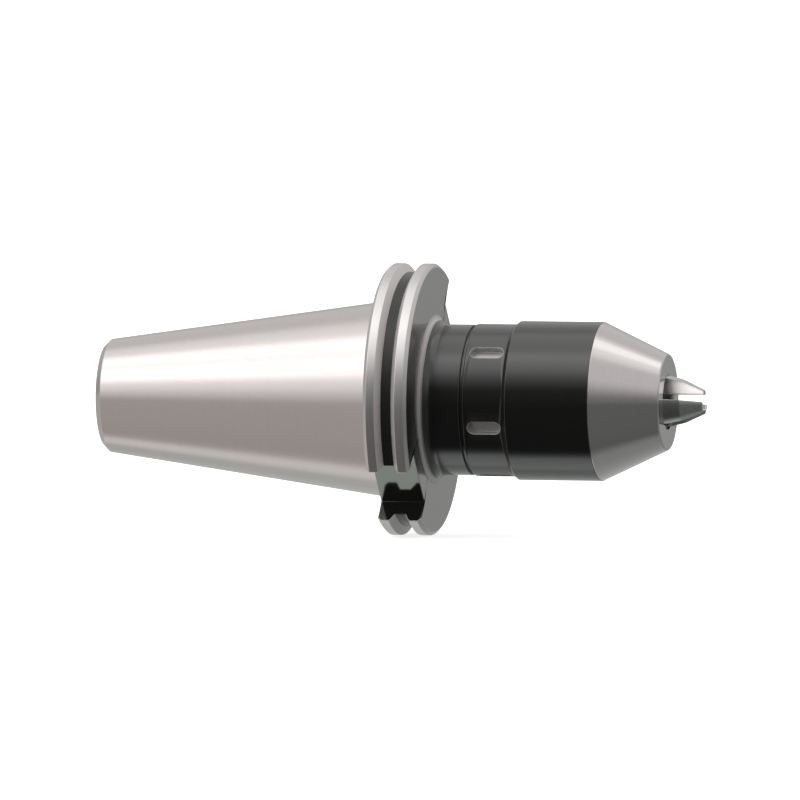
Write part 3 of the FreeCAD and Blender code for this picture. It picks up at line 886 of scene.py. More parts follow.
@dataclass
class TaperShank:
    """Steep taper, gripper flange with its drive slots, and the pull stud's bore.

    Lengths are along the axis from the gauge plane unless their name says radius, floor or
    half.  These need more words than their names give:

    Attributes:
        slot_corner: round between a slot's floor and wall.
        slot_edge: round of a slot's outer edges.
        floor_opening: share of an edge's opening that the slot's floor gets too.
        face_hold: width of the narrow ring that keeps each face's shading flat.
        seam: width of the narrow rings that keep a seam's shading sharp.
        foot_step: how far the flange stands proud of the taper's foot.
        point_radius: radius that stands for a point on the axis.
        edge_spans: how many rings a long step near a face is split into.
        longest_span: longest step that isn't split.
        crowding: how strongly split rings gather at the face.
        blend_angles: angles of a round section that meet the slot's wall and rim.
    """

    taper_length: float = 101.75
    gauge_radius: float = 34.925
    taper_per_side: float = 7.0 / 48.0
    end_chamfer: float = 2.1
    flange_radius: float = 48.75
    flange_rear: float = 3.2
    flange_front: float = 19.1
    flange_chamfer: float = 1.2
    rim_round: float = 0.25
    groove_centre: float = 11.1
    groove_floor_radius: float = 45.625
    groove_floor_half: float = 1.875
    groove_rim_half: float = 3.68
    groove_rim_round: float = 0.3
    groove_floor_round: float = 0.2
    slot_half_width: float = 12.85
    upper_slot_floor: float = 35.5
    lower_slot_floor: float = 37.7
    slot_corner: float = 0.2
    slot_edge: float = 0.35
    floor_opening: float = 0.4
    face_hold: float = 0.4
    slot_angle: float = 45.0
    pilot_radius: float = 12.5
    pilot_depth: float = 8.0
    pilot_chamfer: float = 0.6
    mouth_edge: float = 0.15
    small_end_edge: float = 0.4
    thread_radius: float = 10.5
    thread_depth: float = 1.25
    thread_pitch: float = 3.0
    thread_flank: float = 2.6
    thread_root: float = 0.25
    thread_end: float = 62.0
    drill_point: float = 6.0
    root_fillet: float = 5.0
    rear_body_radius: float = 27.0
    seat_radius: float = 24.0
    seat_front: float = 34.5
    spigot_radius: float = 15.0
    spigot_end: float = 53.5
    screw_bore: float = 9.05
    screw_bore_rear: float = 13.0
    seam: float = 0.05
    foot_step: float = 0.02
    point_radius: float = 1e-5
    floor_steps: int = 5
    corner_steps: int = 5
    wall_steps: int = 4
    rim_steps: int = 3
    arc_steps: int = 36
    rings_a_turn: int = 8
    taper_spans: int = 12
    edge_spans: int = 4
    longest_span: float = 0.2
    crowding: float = 1.6
    blend_angles: tuple[float, float, float] = (19.2, 20.6, 21.8)

    def taper_radius(self, x: float) -> float:
        """Radius of the taper at a place along the axis."""
        return self.gauge_radius + self.taper_per_side * x

    def quarter_counts(self) -> tuple[int, ...]:
        """How many points each stretch of a quarter outline has."""
        return (self.floor_steps, self.corner_steps, self.wall_steps, self.rim_steps, self.arc_steps)

    def slotted_quarter(self, radius: float, spread: float, slot_floor: float) -> list[tuple[float, float]]:
        """A quarter of the slotted flange's section, from a slot's middle onwards.

        Args:
            radius: radius of the rim.
            spread: how far the slot's edge opens out here.
            slot_floor: distance of the slot's floor from the axis.

        Returns:
            Points as (distance along the slot's direction, distance to its side).
        """
        half = self.slot_half_width + spread
        floor = slot_floor - spread * self.floor_opening
        corner = self.slot_corner
        rim_height = math.sqrt(radius * radius - half * half)
        wall_foot = floor + corner
        wall_top = rim_height - self.slot_edge
        rim_turn = math.atan2(half, rim_height) + self.slot_edge / radius
        rim_end = (radius * math.cos(rim_turn), radius * math.sin(rim_turn))
        points = [(floor, (half - corner) * share) for share in shares(self.floor_steps)]
        for share in shares(self.corner_steps):
            turn = share * math.pi / 2
            points.append((floor + corner * (1 - math.cos(turn)), half - corner * (1 - math.sin(turn))))
        points += [(wall_foot + (wall_top - wall_foot) * share, half) for share in shares(self.wall_steps)]
        for share in shares(self.rim_steps):
            near, mid, far = (1 - share) ** 2, 2 * share * (1 - share), share ** 2
            points.append((near * wall_top + mid * rim_height + far * rim_end[0],
                           near * half + mid * half + far * rim_end[1]))
        for share in shares(self.arc_steps):
            turn = rim_turn + (math.pi / 2 - rim_turn) * share
            points.append((radius * math.cos(turn), radius * math.sin(turn)))
        return points

    def round_quarter(self, radius: float) -> list[tuple[float, float]]:
        """A quarter of a plain round section, with as many points as a slotted one.

        Args:
            radius: its radius.

        Returns:
            Points as in slotted_quarter.
        """
        reach = self.slot_half_width - self.slot_corner
        floor_end = math.atan2(reach, self.lower_slot_floor)
        wall_foot, wall_top, rim_end = (math.radians(angle) for angle in self.blend_angles)
        stops = [0.0, min(floor_end, wall_foot), wall_foot, wall_top, rim_end, math.pi / 2]
        angles: list[float] = []
        for count, start, end in zip(self.quarter_counts(), stops, stops[1:]):
            angles += [start + (end - start) * share for share in shares(count)]
        return [(radius * math.cos(angle), radius * math.sin(angle)) for angle in angles]

    def whole(self, x: float, upper: Sequence[tuple[float, float]],
              lower: Sequence[tuple[float, float]]) -> np.ndarray:
        """Close two quarter outlines, one for each slot's side of the flange, into a ring.

        Args:
            x: place along the axis.
            upper: the quarter on the upper slot's side.
            lower: the quarter on the lower slot's side.

        Returns:
            The ring of points.
        """
        radius = math.hypot(*upper[-1])
        ring = list(upper) + [(0.0, radius)]
        ring += [(-along, side) for along, side in reversed(lower[1:])]
        ring += [(-along, -side) for along, side in lower] + [(0.0, -radius)]
        ring += [(along, -side) for along, side in reversed(upper[1:])]
        return spin([(x, along, side) for along, side in ring], self.slot_angle)

    def slot_mask(self) -> np.ndarray:
        """Find the points of a ring that lie on a slot's floor or walls.

        Returns:
            True for each point in a slot.
        """
        inner = self.floor_steps + self.corner_steps + self.wall_steps
        quarter = [index <= inner for index in range(sum(self.quarter_counts()))]
        mirrored = [False] + quarter[:0:-1]
        return np.array((quarter + mirrored) * 2)

    def rim_outline(self) -> list[Stop]:
        """Outline of the flange's rim, from its rear face to its front face.

        Returns:
            The rounded outline.
        """
        rear, front, chamfer = self.flange_rear, self.flange_front, self.flange_chamfer
        top = self.flange_radius
        centre, floor = self.groove_centre, self.groove_floor_radius
        corners = [
            Corner(rear, top - chamfer - RUN_IN),
            Corner(rear, top - chamfer, self.rim_round),
            Corner(rear + chamfer, top, self.rim_round),
            Corner(centre - self.groove_rim_half, top, self.groove_rim_round),
            Corner(centre - self.groove_floor_half, floor, self.groove_floor_round),
            Corner(centre + self.groove_floor_half, floor, self.groove_floor_round),
            Corner(centre + self.groove_rim_half, top, self.groove_rim_round),
            Corner(front - chamfer, top, self.rim_round),
            Corner(front, top - chamfer, self.rim_round),
            Corner(front, top - chamfer - RUN_IN),
        ]
        return rounded_outline(corners, closed=False)[1:-1]

    def refine_near_faces(self, rim: Sequence[Stop]) -> list[Stop]:
        """Add rings near the flange's faces, where the slots' edges are rounded.

        Args:
            rim: the rim's outline.

        Returns:
            The outline with more points.
        """
        finer: list[Stop] = [rim[0]]
        for before, after in zip(rim, rim[1:]):
            depth = min(abs(stop.x - face) for stop in (before, after)
                        for face in (self.flange_rear, self.flange_front))
            near_face = depth < self.slot_edge and abs(after.x - before.x) > self.longest_span
            pieces = self.edge_spans if near_face else 1
            for index in range(1, pieces + 1):
                share = index / pieces
                if near_face and after.x < self.groove_centre:
                    share = share ** self.crowding
                elif near_face:
                    share = 1 - (1 - share) ** self.crowding
                finer.append(Stop(before.x + (after.x - before.x) * share,
                                  before.r + (after.r - before.r) * share,
                                  after.wear if index == pieces else 0.0))
        return finer

    def edge_spread(self, x: float) -> float:
        """How far a slot's edge opens out near the flange's faces.

        Args:
            x: place along the axis.

        Returns:
            The extra half width of the slot.
        """
        depth = min(x - self.flange_rear, self.flange_front - x)
        if depth >= self.slot_edge:
            return 0.0
        left = self.slot_edge - max(depth, 0.0)
        return self.slot_edge - math.sqrt(self.slot_edge ** 2 - left ** 2)

    def thread_ring(self, x: float) -> np.ndarray:
        """One ring of the pull stud's thread.

        Args:
            x: place along the axis.

        Returns:
            The ring's points.
        """
        quarter = self.round_quarter(1.0)
        ring = self.whole(x, quarter, quarter)
        angles = np.arctan2(ring[:, 2], ring[:, 1])
        phase = (x / self.thread_pitch + angles / FULL_TURN) % 1.0
        ridge = np.clip(np.abs(phase - 0.5) * self.thread_flank - self.thread_root, 0.0, 1.0)
        start = -self.taper_length + self.pilot_depth
        end = -self.taper_length + self.thread_end
        fade = np.clip(min(x - start, end - x) / self.thread_pitch, 0.0, 1.0)
        return circle_ring(x, self.thread_radius + self.thread_depth * ridge * fade, angles)

    def round_band(self, stop: Stop, zone: Zone) -> Band:
        """A plain round ring at a point of an outline.

        Args:
            stop: the point.
            zone: finish of the faces that lead up to it.

        Returns:
            The ring.
        """
        quarter = self.round_quarter(max(stop.r, self.point_radius))
        return Band(self.whole(stop.x, quarter, quarter), stop.wear, zone)

    def rear_bands(self) -> list[Band]:
        """Rings of the pull stud's bore and the taper, from the bore's bottom to the flange.

        Returns:
            The rings, in order.
        """
        rear_end = -self.taper_length
        thread_end = rear_end + self.thread_end
        thread_start = rear_end + self.pilot_depth
        bottom = [Stop(thread_end + self.drill_point, 0.0), Stop(thread_end, self.thread_radius)]
        bands = [self.round_band(stop, Zone.STEEL) for stop in bottom]
        turns = (thread_end - thread_start) / self.thread_pitch
        for share in shares(int(turns * self.rings_a_turn))[1:]:
            x = thread_end + (thread_start - thread_end) * share
            bands.append(Band(self.thread_ring(x), 0.0, Zone.STEEL))
        chamfer_x = rear_end + self.end_chamfer
        chamfer_top = self.taper_radius(chamfer_x)
        corners = [
            Corner(thread_start + RUN_IN, self.thread_radius),
            Corner(thread_start, self.thread_radius, CRISP_EDGE),
            Corner(thread_start, self.pilot_radius, SMALL_EDGE),
            Corner(rear_end + self.pilot_chamfer, self.pilot_radius, CRISP_EDGE),
            Corner(rear_end, self.pilot_radius + self.pilot_chamfer, self.mouth_edge),
            Corner(rear_end, chamfer_top - self.end_chamfer, SOFT_EDGE),
            Corner(chamfer_x, chamfer_top, self.small_end_edge),
            Corner(self.flange_rear, self.taper_radius(self.flange_rear)),
        ]
        stops = rounded_outline(corners, closed=False)[1:-1]
        first_x, last_x = stops[-1].x, self.flange_rear - self.seam
        for index in range(1, self.taper_spans + 1):
            x = first_x + (last_x - first_x) * index / self.taper_spans
            stops.append(Stop(x, self.taper_radius(x)))
        bands += [self.round_band(stop, Zone.STEEL) for stop in stops]
        foot = Stop(self.flange_rear, self.taper_radius(self.flange_rear) + self.foot_step)
        return bands + [self.round_band(foot, Zone.FLANGE)]

    def flange_bands(self) -> list[Band]:
        """Rings of the flange's rim with both drive slots, from its rear face to its front face.

        Returns:
            The rings, in order.
        """
        in_slot = self.slot_mask()
        inside = in_slot & np.roll(in_slot, -1)
        rim_zones, wall_zones, floor_zones = (
            [Zone.SLOT if in_here else outside for in_here in inside]
            for outside in (Zone.RIM, Zone.SATIN, Zone.BLACK))
        rim = self.refine_near_faces(self.rim_outline())
        rim = [Stop(rim[0].x, rim[0].r - self.face_hold), *rim, Stop(rim[-1].x, rim[-1].r - self.face_hold)]
        bands = []
        for index, stop in enumerate(rim):
            held = index in (0, len(rim) - 1)
            spread = self.edge_spread(stop.x) + (self.face_hold if held else 0.0)
            ring = self.whole(stop.x, self.slotted_quarter(stop.r, spread, self.upper_slot_floor),
                              self.slotted_quarter(stop.r, spread, self.lower_slot_floor))
            wear = np.where(in_slot, 1.0 if spread > 0 and not held else 0.0, stop.wear)
            off_centre = abs((rim[index - 1].x + stop.x) / 2 - self.groove_centre)
            if index == 0:
                zones: int | Sequence[int] = Zone.FLANGE
            elif off_centre < self.groove_floor_half:
                zones = floor_zones
            else:
                zones = wall_zones if off_centre < self.groove_rim_half else rim_zones
            bands.append(Band(ring, wear, zones))
        return bands

    def front_bands(self) -> list[Band]:
        """Rings from the flange's front face over the root fillet and spigot into the screw's bore.

        Returns:
            The rings, in order.
        """
        face, fillet, body = self.flange_front, self.root_fillet, self.rear_body_radius
        corners = [
            Corner(face, body + fillet + 2 * RUN_IN),
            Corner(face, body, fillet),
            Corner(face + 2 * fillet, body),
        ]
        reach = fillet * (1 - math.sqrt(0.5))
        split_x, split_radius = face + reach, body + reach
        arc = [stop for stop in rounded_outline(corners, closed=False)[1:-1] if stop.x < split_x + self.seam]
        bands = [self.round_band(stop, Zone.SATIN) for stop in arc]
        bands[0].zones = Zone.FLANGE
        inner = [
            Stop(split_x, split_radius),
            Stop(split_x, split_radius - self.seam),
            Stop(split_x, self.seat_radius),
            Stop(self.seat_front, self.seat_radius),
            Stop(self.seat_front, self.spigot_radius),
            Stop(self.spigot_end, self.spigot_radius),
            Stop(self.spigot_end, self.screw_bore),
            Stop(self.screw_bore_rear, self.screw_bore),
            Stop(self.screw_bore_rear - self.drill_point, 0.0),
        ]
        return bands + [self.round_band(stop, Zone.FLANGE) for stop in inner]

    def build(self) -> bpy.types.Object:
        """Build the shank as one closed mesh.

        Returns:
            The shank.
        """
        skin = Skin(4 * sum(self.quarter_counts()))
        skin.chain(self.rear_bands() + self.flange_bands() + self.front_bands())
        # The drive slots take steel darkened as painted shade; the other zones keep their plain finishes.
        finishes = {Zone.STEEL: GROUND_STEEL, Zone.FLANGE: FLANGE_STEEL, Zone.SLOT: SHADED_SLOT_STEEL,
                    Zone.BLACK: GROOVE_BLACK, Zone.RIM: RIM_STEEL, Zone.SATIN: SATIN_STEEL}
        return skin.build("shank_taper_and_flange", [finishes[zone] for zone in Zone])

    def place(self) -> None:
        """Build the shank and put it in place of its node."""
        settle(self.build(), "taper_shank", Body.SHANK, Slot.GROUND)


@dataclass
class RearCollar:
    """Blackened collar that carries the flange's root fillet on to the turning ring."""

    flange_front: float = 19.1
    fillet: float = 5.0
    body_radius: float = 27.0
    seat_radius: float = 24.0
    step_x: float = 33.6
    front_x: float = 34.6
    step_radius: float = 26.0
    seal_inner: float = 24.3
    seal_outer: float = 25.7
    seal_rear: float = 33.35
    split_round: float = 0.06
    fillet_steps: int = 8

    def build(self) -> bpy.types.Object:
        """Turn the collar.

        Returns:
            The collar.
        """
        reach = self.fillet * (1 - math.sqrt(0.5))
        centre_x, centre_r = self.flange_front + self.fillet, self.body_radius + self.fillet
        arc = []
        for index in range(self.fillet_steps + 1):
            turn = math.pi / 4 * (1 + index / self.fillet_steps)
            x, radius = centre_x - self.fillet * math.cos(turn), centre_r - self.fillet * math.sin(turn)
            arc.append(Corner(x, radius, 0.0 if index else self.split_round))
        corners = [Corner(self.flange_front + reach, self.seat_radius, HAIR_EDGE)] + arc + [
            Corner(self.step_x, self.body_radius, SOFT_EDGE),
            Corner(self.step_x, self.step_radius, CRISP_EDGE),
            Corner(self.front_x, self.step_radius, CRISP_EDGE),
            Corner(self.front_x, self.seal_outer, HAIR_EDGE),
            Corner(self.seal_rear, self.seal_outer, CRISP_EDGE),
            Corner(self.seal_rear, self.seal_inner, CRISP_EDGE),
            Corner(self.front_x, self.seal_inner, HAIR_EDGE),
            Corner(self.front_x, self.seat_radius, HAIR_EDGE),
        ]
        return lathe("rear_collar_black", corners, BLACK_OXIDE)

    def place(self) -> None:
        """Build the collar and put it in place of its node."""
        settle(self.build(), "rear_collar", Body.SHANK, Slot.BLACK)


@dataclass
class SpannerRing:
    """Turning ring with round-ended spanner slots milled into its rim."""

    radius: float = 27.35
    rear: float = 34.9
    front: float = 49.5
    lip_front: float = 39.0
    tail_end: float = 55.2
    tail_radius: float = 25.55
    bore_radius: float = 23.6
    bush_radius: float = 17.0
    slots: int = 6
    slot_x: float = 42.6
    slot_length: float = 12.2
    slot_width: float = 4.6
    slot_floor: float = 24.9
    slot_edge: float = 0.14
    floor_blend: float = 0.45
    round_steps: int = 3
    rim_shares: tuple[float, ...] = (0.0, 0.35, 0.7, 1.0)
    rim_wear: float = 0.3
    first_angle: float = 78.5
    edge: float = 0.3
    front_edge: float = 0.2
    arc_points: int = 24
    side_points: int = 14

    def patch_border(self) -> list[tuple[float, float]]:
        """Border of one slot's patch of the rim, once round from its rear corner.

        Returns:
            Points as (x, angle from the slot's middle).
        """
        rear, front = self.rear + self.edge, self.front - self.front_edge
        half = math.pi / self.slots
        border = [(rear + (front - rear) * share, -half) for share in shares(self.side_points)]
        border += [(front, half * (2 * share - 1)) for share in shares(self.arc_points)]
        return border + [(rear + front - x, -angle) for x, angle in border]

    def obround(self, offset: float) -> list[tuple[float, float]]:
        """Outline of the slot, with a point for each border point.

        Args:
            offset: how far outside the slot's wall it runs.

        Returns:
            Points as (x, side).
        """
        half = self.slot_width / 2
        reach = self.slot_length / 2 - half
        radius = half + offset
        outline = [self.side_point(share, reach, radius) for share in shares(self.side_points)]
        for share in shares(self.arc_points):
            turn = math.pi / 4 * (2 * share - 1)
            outline.append((self.slot_x + reach + radius * math.cos(turn), radius * math.sin(turn)))
        return outline + [(2 * self.slot_x - x, -side) for x, side in outline]

    def side_point(self, share: float, reach: float, radius: float) -> tuple[float, float]:
        """A point on one long side of the slot, with an eighth of a turn of each round end.

        Args:
            share: how far along, from 0 at the rear end to 1 at the front end.
            reach: half the distance between the ends' centres.
            radius: radius of the ends.

        Returns:
            The point as (x, side).
        """
        arc = radius * math.pi / 4
        total = 2 * (arc + reach)
        along = share * total
        if along < arc:
            turn = math.pi / 2 - (arc - along) / radius
            return (self.slot_x - reach - radius * math.cos(turn), -radius * math.sin(turn))
        if along > total - arc:
            turn = math.pi / 2 - (along - (total - arc)) / radius
            return (self.slot_x + reach + radius * math.cos(turn), -radius * math.sin(turn))
        return (self.slot_x - reach + along - arc, -radius)

    def rim_loop(self, share: float) -> list[tuple[float, float, float]]:
        """A loop on the rim between the patch's border and the slot's rounded edge.

        Args:
            share: 0 on the border, 1 on the edge.

        Returns:
            Points as (x, height, side).
        """
        loop = []
        for (x, angle), (edge_x, side) in zip(self.patch_border(), self.obround(self.slot_edge)):
            turn = angle + (math.asin(side / self.radius) - angle) * share
            across, out = self.radius * math.sin(turn), self.radius * math.cos(turn)
            loop.append((x + (edge_x - x) * share, out, across))
        return loop

    def slot_bands(self, degrees: float) -> list[Band]:
        """Rings from the border of one slot's patch down to the slot's floor.

        Args:
            degrees: the slot's angle.

        Returns:
            The rings, in order.
        """
        black, bare = 0, 1
        loops = []
        for share in self.rim_shares:
            loops.append((self.rim_loop(share), 0.0 if share < 1 else self.rim_wear, black))
        turns = [math.pi / 2 * (step + 1) / self.round_steps for step in range(self.round_steps)]
        for turn in turns:
            inset = self.slot_edge * (1 - math.sin(turn))
            drop = self.slot_edge * (1 - math.cos(turn))
            edge = []
            for x, side in self.obround(inset):
                edge.append((x, math.sqrt(self.radius ** 2 - side ** 2) - drop, side))
            loops.append((edge, 1.0, bare))
        for turn in [0.0] + turns:
            inset = -self.floor_blend * (1 - math.cos(turn))
            height = self.slot_floor + self.floor_blend * (1 - math.sin(turn))
            loops.append(([(x, height, side) for x, side in self.obround(inset)], 0.0, bare))
        return [Band(spin(points, degrees), wear, zone) for points, wear, zone in loops]

    def turned_rest(self) -> Skin:
        """Turn the ring's ends, tail and bore, which close the slotted rim.

        Returns:
            Their skin.
        """
        corners = [
            Corner(self.front - RUN_IN, self.radius),
            Corner(self.front, self.radius, self.front_edge),
            Corner(self.front, self.tail_radius, CRISP_EDGE),
            Corner(self.tail_end, self.tail_radius, SMALL_EDGE),
            Corner(self.tail_end, self.bore_radius, SMALL_EDGE),
            Corner(self.lip_front, self.bore_radius, SMALL_EDGE),
            Corner(self.lip_front, self.bush_radius, CRISP_EDGE),
            Corner(self.rear, self.bush_radius, CRISP_EDGE),
            Corner(self.rear, self.radius, self.edge),
            Corner(self.rear + RUN_IN, self.radius),
        ]
        stops = rounded_outline(corners, closed=False)[1:-1]
        segments = self.slots * self.arc_points
        first = math.radians(self.first_angle) - math.pi / self.slots
        angles = first + np.arange(segments) * FULL_TURN / segments
        turned = Skin(segments)
        turned.chain([Band(circle_ring(stop.x, stop.r, angles), stop.wear) for stop in stops])
        return turned

    def build(self) -> bpy.types.Object:
        """Build the ring with all its slots as one closed mesh.

        Returns:
            The ring.
        """
        skin = Skin(2 * (self.side_points + self.arc_points))
        for share in shares(self.slots):
            floor = skin.chain(self.slot_bands(self.first_angle + 360.0 * share))
            skin.lid(floor, 1)
        skin.absorb(self.turned_rest())
        return skin.build("spanner_ring_black", [BLACK_OXIDE, BARE_SLOT])

    def place(self) -> None:
        """Build the ring and put it in place of its node."""
        settle(self.build(), "spanner_ring", Body.SLEEVE, Slot.BLACK)


@dataclass
class GripSleeve:
    """Blackened sleeve that a hand turns to open and close the jaws."""

    radius: float = 28.5
    rear_radius: float = 27.35
    bore: float = 25.6
    rear: float = 49.5
    front: float = 81.0
    chamfer: float = 1.2
    rear_edge: float = 0.12
    front_edge: float = 0.15

    def build(self) -> bpy.types.Object:
        """Turn the sleeve.

        Returns:
            The sleeve.
        """
        corners = [
            Corner(self.rear, self.bore, CRISP_EDGE),
            Corner(self.rear, self.rear_radius, self.rear_edge),
            Corner(self.rear + self.chamfer, self.radius, SOFT_EDGE),
            Corner(self.front, self.radius, self.front_edge),
            Corner(self.front, self.bore, CRISP_EDGE),
        ]
        return lathe("outer_sleeve_black", corners, BLACK_OXIDE)

    def place(self) -> None:
        """Build the sleeve and put it in place of its node."""
        settle(self.build(), "outer_sleeve", Body.SLEEVE, Slot.BLACK)


@dataclass
class NoseCone:
    """Ground steel nose with the conical bore that backs the jaws."""

    tail_rear: float = 55.5
    sleeve_front: float = 81.0
    tail_radius: float = 25.55
    rim_radius: float = 28.35
    rim_x: float = 81.15
    face: float = 104.6
    face_radius: float = 17.45
    face_edge: float = 0.45
    bore_at_face: float = 9.85
    rim_edge: float = 0.15
    bore_edge: float = 0.25
    slide_slope: float = SLIDE_SLOPE
    guide_front: float = 61.5
    guide_radius: float = 21.95
    snap_rear: float = 57.0
    snap_front: float = 58.1
    snap_radius: float = 23.4
    seal_x: float = 78.0
    seal_half: float = 0.67
    seal_radius: float = 24.28

    def build(self) -> bpy.types.Object:
        """Turn the nose.

        Returns:
            The nose.
        """
        bore_at_guide = self.bore_at_face + self.slide_slope * (self.face - self.guide_front)
        corners = [
            Corner(self.tail_rear, self.guide_radius, CRISP_EDGE),
            Corner(self.tail_rear, self.tail_radius, SMALL_EDGE),
            Corner(self.seal_x - self.seal_half, self.tail_radius, HAIR_EDGE),
            Corner(self.seal_x - self.seal_half, self.seal_radius, CRISP_EDGE),
            Corner(self.seal_x + self.seal_half, self.seal_radius, CRISP_EDGE),
            Corner(self.seal_x + self.seal_half, self.tail_radius, HAIR_EDGE),
            Corner(self.sleeve_front, self.tail_radius, HAIR_EDGE),
            Corner(self.sleeve_front, self.rim_radius, HAIR_EDGE),
            Corner(self.rim_x, self.rim_radius, self.rim_edge),
            Corner(self.face - self.face_edge, self.face_radius, SOFT_EDGE),
            Corner(self.face, self.face_radius - self.face_edge, SOFT_EDGE),
            Corner(self.face, self.bore_at_face, self.bore_edge),
            Corner(self.guide_front, bore_at_guide, HAIR_EDGE),
            Corner(self.guide_front, self.guide_radius, HAIR_EDGE),
            Corner(self.snap_front, self.guide_radius, HAIR_EDGE),
            Corner(self.snap_front, self.snap_radius, HAIR_EDGE),
            Corner(self.snap_rear, self.snap_radius, HAIR_EDGE),
            Corner(self.snap_rear, self.guide_radius, HAIR_EDGE),
        ]
        return lathe("nose_cone_steel", corners, NOSE_STEEL)

    def place(self) -> None:
        """Build the nose and put it in place of its node."""
        settle(self.build(), "nose_cone", Body.SLEEVE, Slot.GROUND)


@dataclass
class Jaw:
    """One sliding jaw: wedge section, conical back, bevelled tip and driving foot."""

    number: int
    angle: float
    rear: float = 81.8
    tip: float = 117.8
    flat: float = 2.75
    half_width: float = 4.95
    wide_from: float = 8.33
    wedge_slope: float = math.tan(math.radians(33.0))
    slide_slope: float = SLIDE_SLOPE
    back_at_face: float = 9.75
    face: float = 104.6
    bevel_start: float = 110.3
    tip_back: float = 4.6
    shift: float = 1.25
    edge: float = 0.22
    foot_rear: float = 76.2
    foot_front: float = 78.3
    foot_inner: float = 3.6
    foot_outer: float = 9.4
    foot_half: float = 3.8
    neck_half: float = 2.2
    foot_overlap: float = 0.3
    neck_overlap: float = 0.01
    knee_gap: float = 0.02
    back_steps: int = 6
    halvings: int = 50

    def back_radius(self, x: float) -> float:
        """Radius of the back's cone about its own centre.

        Args:
            x: place along the axis.

        Returns:
            The radius there.
        """
        if x <= self.bevel_start:
            return self.back_at_face + self.slide_slope * (self.face - x) - self.shift
        start = self.back_at_face + self.slide_slope * (self.face - self.bevel_start) - self.shift
        share = (x - self.bevel_start) / (self.tip - self.bevel_start)
        return start + (self.tip_back - self.shift - start) * share

    def blank_half(self, height: float) -> float:
        """Half width of the wedge section at a height from the chuck axis."""
        narrow = self.half_width - (self.wide_from - height) * self.wedge_slope
        return min(narrow, self.half_width)

    def meeting_height(self, back: float) -> float:
        """Height where the section's side meets the round back.

        Args:
            back: radius of the back here.

        Returns:
            The height of the shared corner.
        """
        low, high = self.flat, back + self.shift
        for _ in range(self.halvings):
            middle = (low + high) / 2
            inside = back * back - (middle - self.shift) ** 2 > self.blank_half(middle) ** 2
            low, high = (middle, high) if inside else (low, middle)
        return (low + high) / 2

    def section(self, x: float, inset: float) -> list[tuple[float, float]]:
        """Section of the jaw across the axis.

        Args:
            x: place along the axis.
            inset: how far the section is drawn in, near the jaw's ends.

        Returns:
            Points as (height, side), once round.
        """
        back = self.back_radius(x) - inset
        meet = self.meeting_height(back)
        land = self.blank_half(self.flat + inset)
        corners = [(self.flat + inset, -land + inset), (self.flat + inset, land - inset)]
        knee = min(self.wide_from, meet - self.knee_gap)
        corners += [(height, self.blank_half(height) - inset) for height in (knee, meet)]
        start = math.atan2(corners[-1][1], meet - self.shift)
        arc = []
        for index in range(1, 2 * self.back_steps):
            turn = start * (1 - index / self.back_steps)
            arc.append((self.shift + back * math.cos(turn), back * math.sin(turn)))
        left = [(height, -side) for height, side in reversed(corners[2:])]
        return soften(corners + arc + left, self.edge, (0, 1, 3, 3 + len(arc) + 1))

    def stations(self) -> list[tuple[float, float]]:
        """Places along the jaw where its section is taken.

        Returns:
            Pairs of (place along the axis, how far the section is drawn in).
        """
        body = self.bevel_start - self.rear
        bevel = self.tip - self.bevel_start
        stations = [(self.rear, 0.25), (self.rear + 0.08, 0.08), (self.rear + 0.25, 0.0)]
        stations += [(self.rear + body * share, 0.0) for share in (0.25, 0.5, 0.75)]
        stations += [(self.bevel_start - 0.25, 0.0), (self.bevel_start, 0.03), (self.bevel_start + 0.25, 0.0)]
        stations += [(self.bevel_start + bevel * share, 0.0) for share in (0.33, 0.66)]
        return stations + [(self.tip - 0.22, 0.0), (self.tip - 0.06, 0.07), (self.tip, 0.22)]

    def build(self) -> bpy.types.Object:
        """Build the jaw as one closed mesh with its foot.

        Returns:
            The jaw.
        """
        # Zone 0, the flanks and the foot, takes the near-white steel of the painted highlight; zone 1, the
        # back, keeps the plain jaw steel.
        flank, back = 0, 1
        bands = []
        for x, inset in self.stations():
            outline = self.section(x, inset)
            points = spin([(x, height, side) for height, side, _, _ in outline], self.angle)
            wear = np.array([worn if inset == 0 else 1.0 for _, _, worn, _ in outline])
            bands.append(Band(points, wear, [back if on_back else flank for *_, on_back in outline]))
        skin = Skin(len(bands[0].points))
        tip = skin.chain(bands)
        skin.lid(0, flank)
        skin.lid(tip, back)
        self.add_foot(skin, flank)
        return skin.build(self.name() + "_ground", [JAW_FLANK_HIGHLIGHT, JAW_BACK])

    def add_foot(self, skin: Skin, zone: int) -> None:
        """Add the T-shaped foot that the screw head drives, as two blocks.

        Args:
            skin: the jaw's skin.
            zone: material number of the foot.
        """
        blocks = [
            (self.foot_rear, self.foot_front, self.foot_half),
            (self.foot_front - self.neck_overlap, self.rear + self.foot_overlap, self.neck_half),
        ]
        for rear, front, half in blocks:
            block = Skin(4)
            outline = [(self.foot_inner, -half), (self.foot_inner, half),
                       (self.foot_outer, half), (self.foot_outer, -half)]
            ends = [spin([(x, height, side) for height, side in outline], self.angle) for x in (rear, front)]
            last = block.chain([Band(points, 0.0, zone) for points in ends])
            block.lid(0, zone)
            block.lid(last, zone)
            skin.absorb(block)

    def name(self) -> str:
        """Name of the jaw's node and body."""
        return "jaw_%d" % self.number

    def place(self) -> None:
        """Build the jaw and put it in place of its node."""
        settle(self.build(), self.name(), Body(self.name()), Slot.JAW)


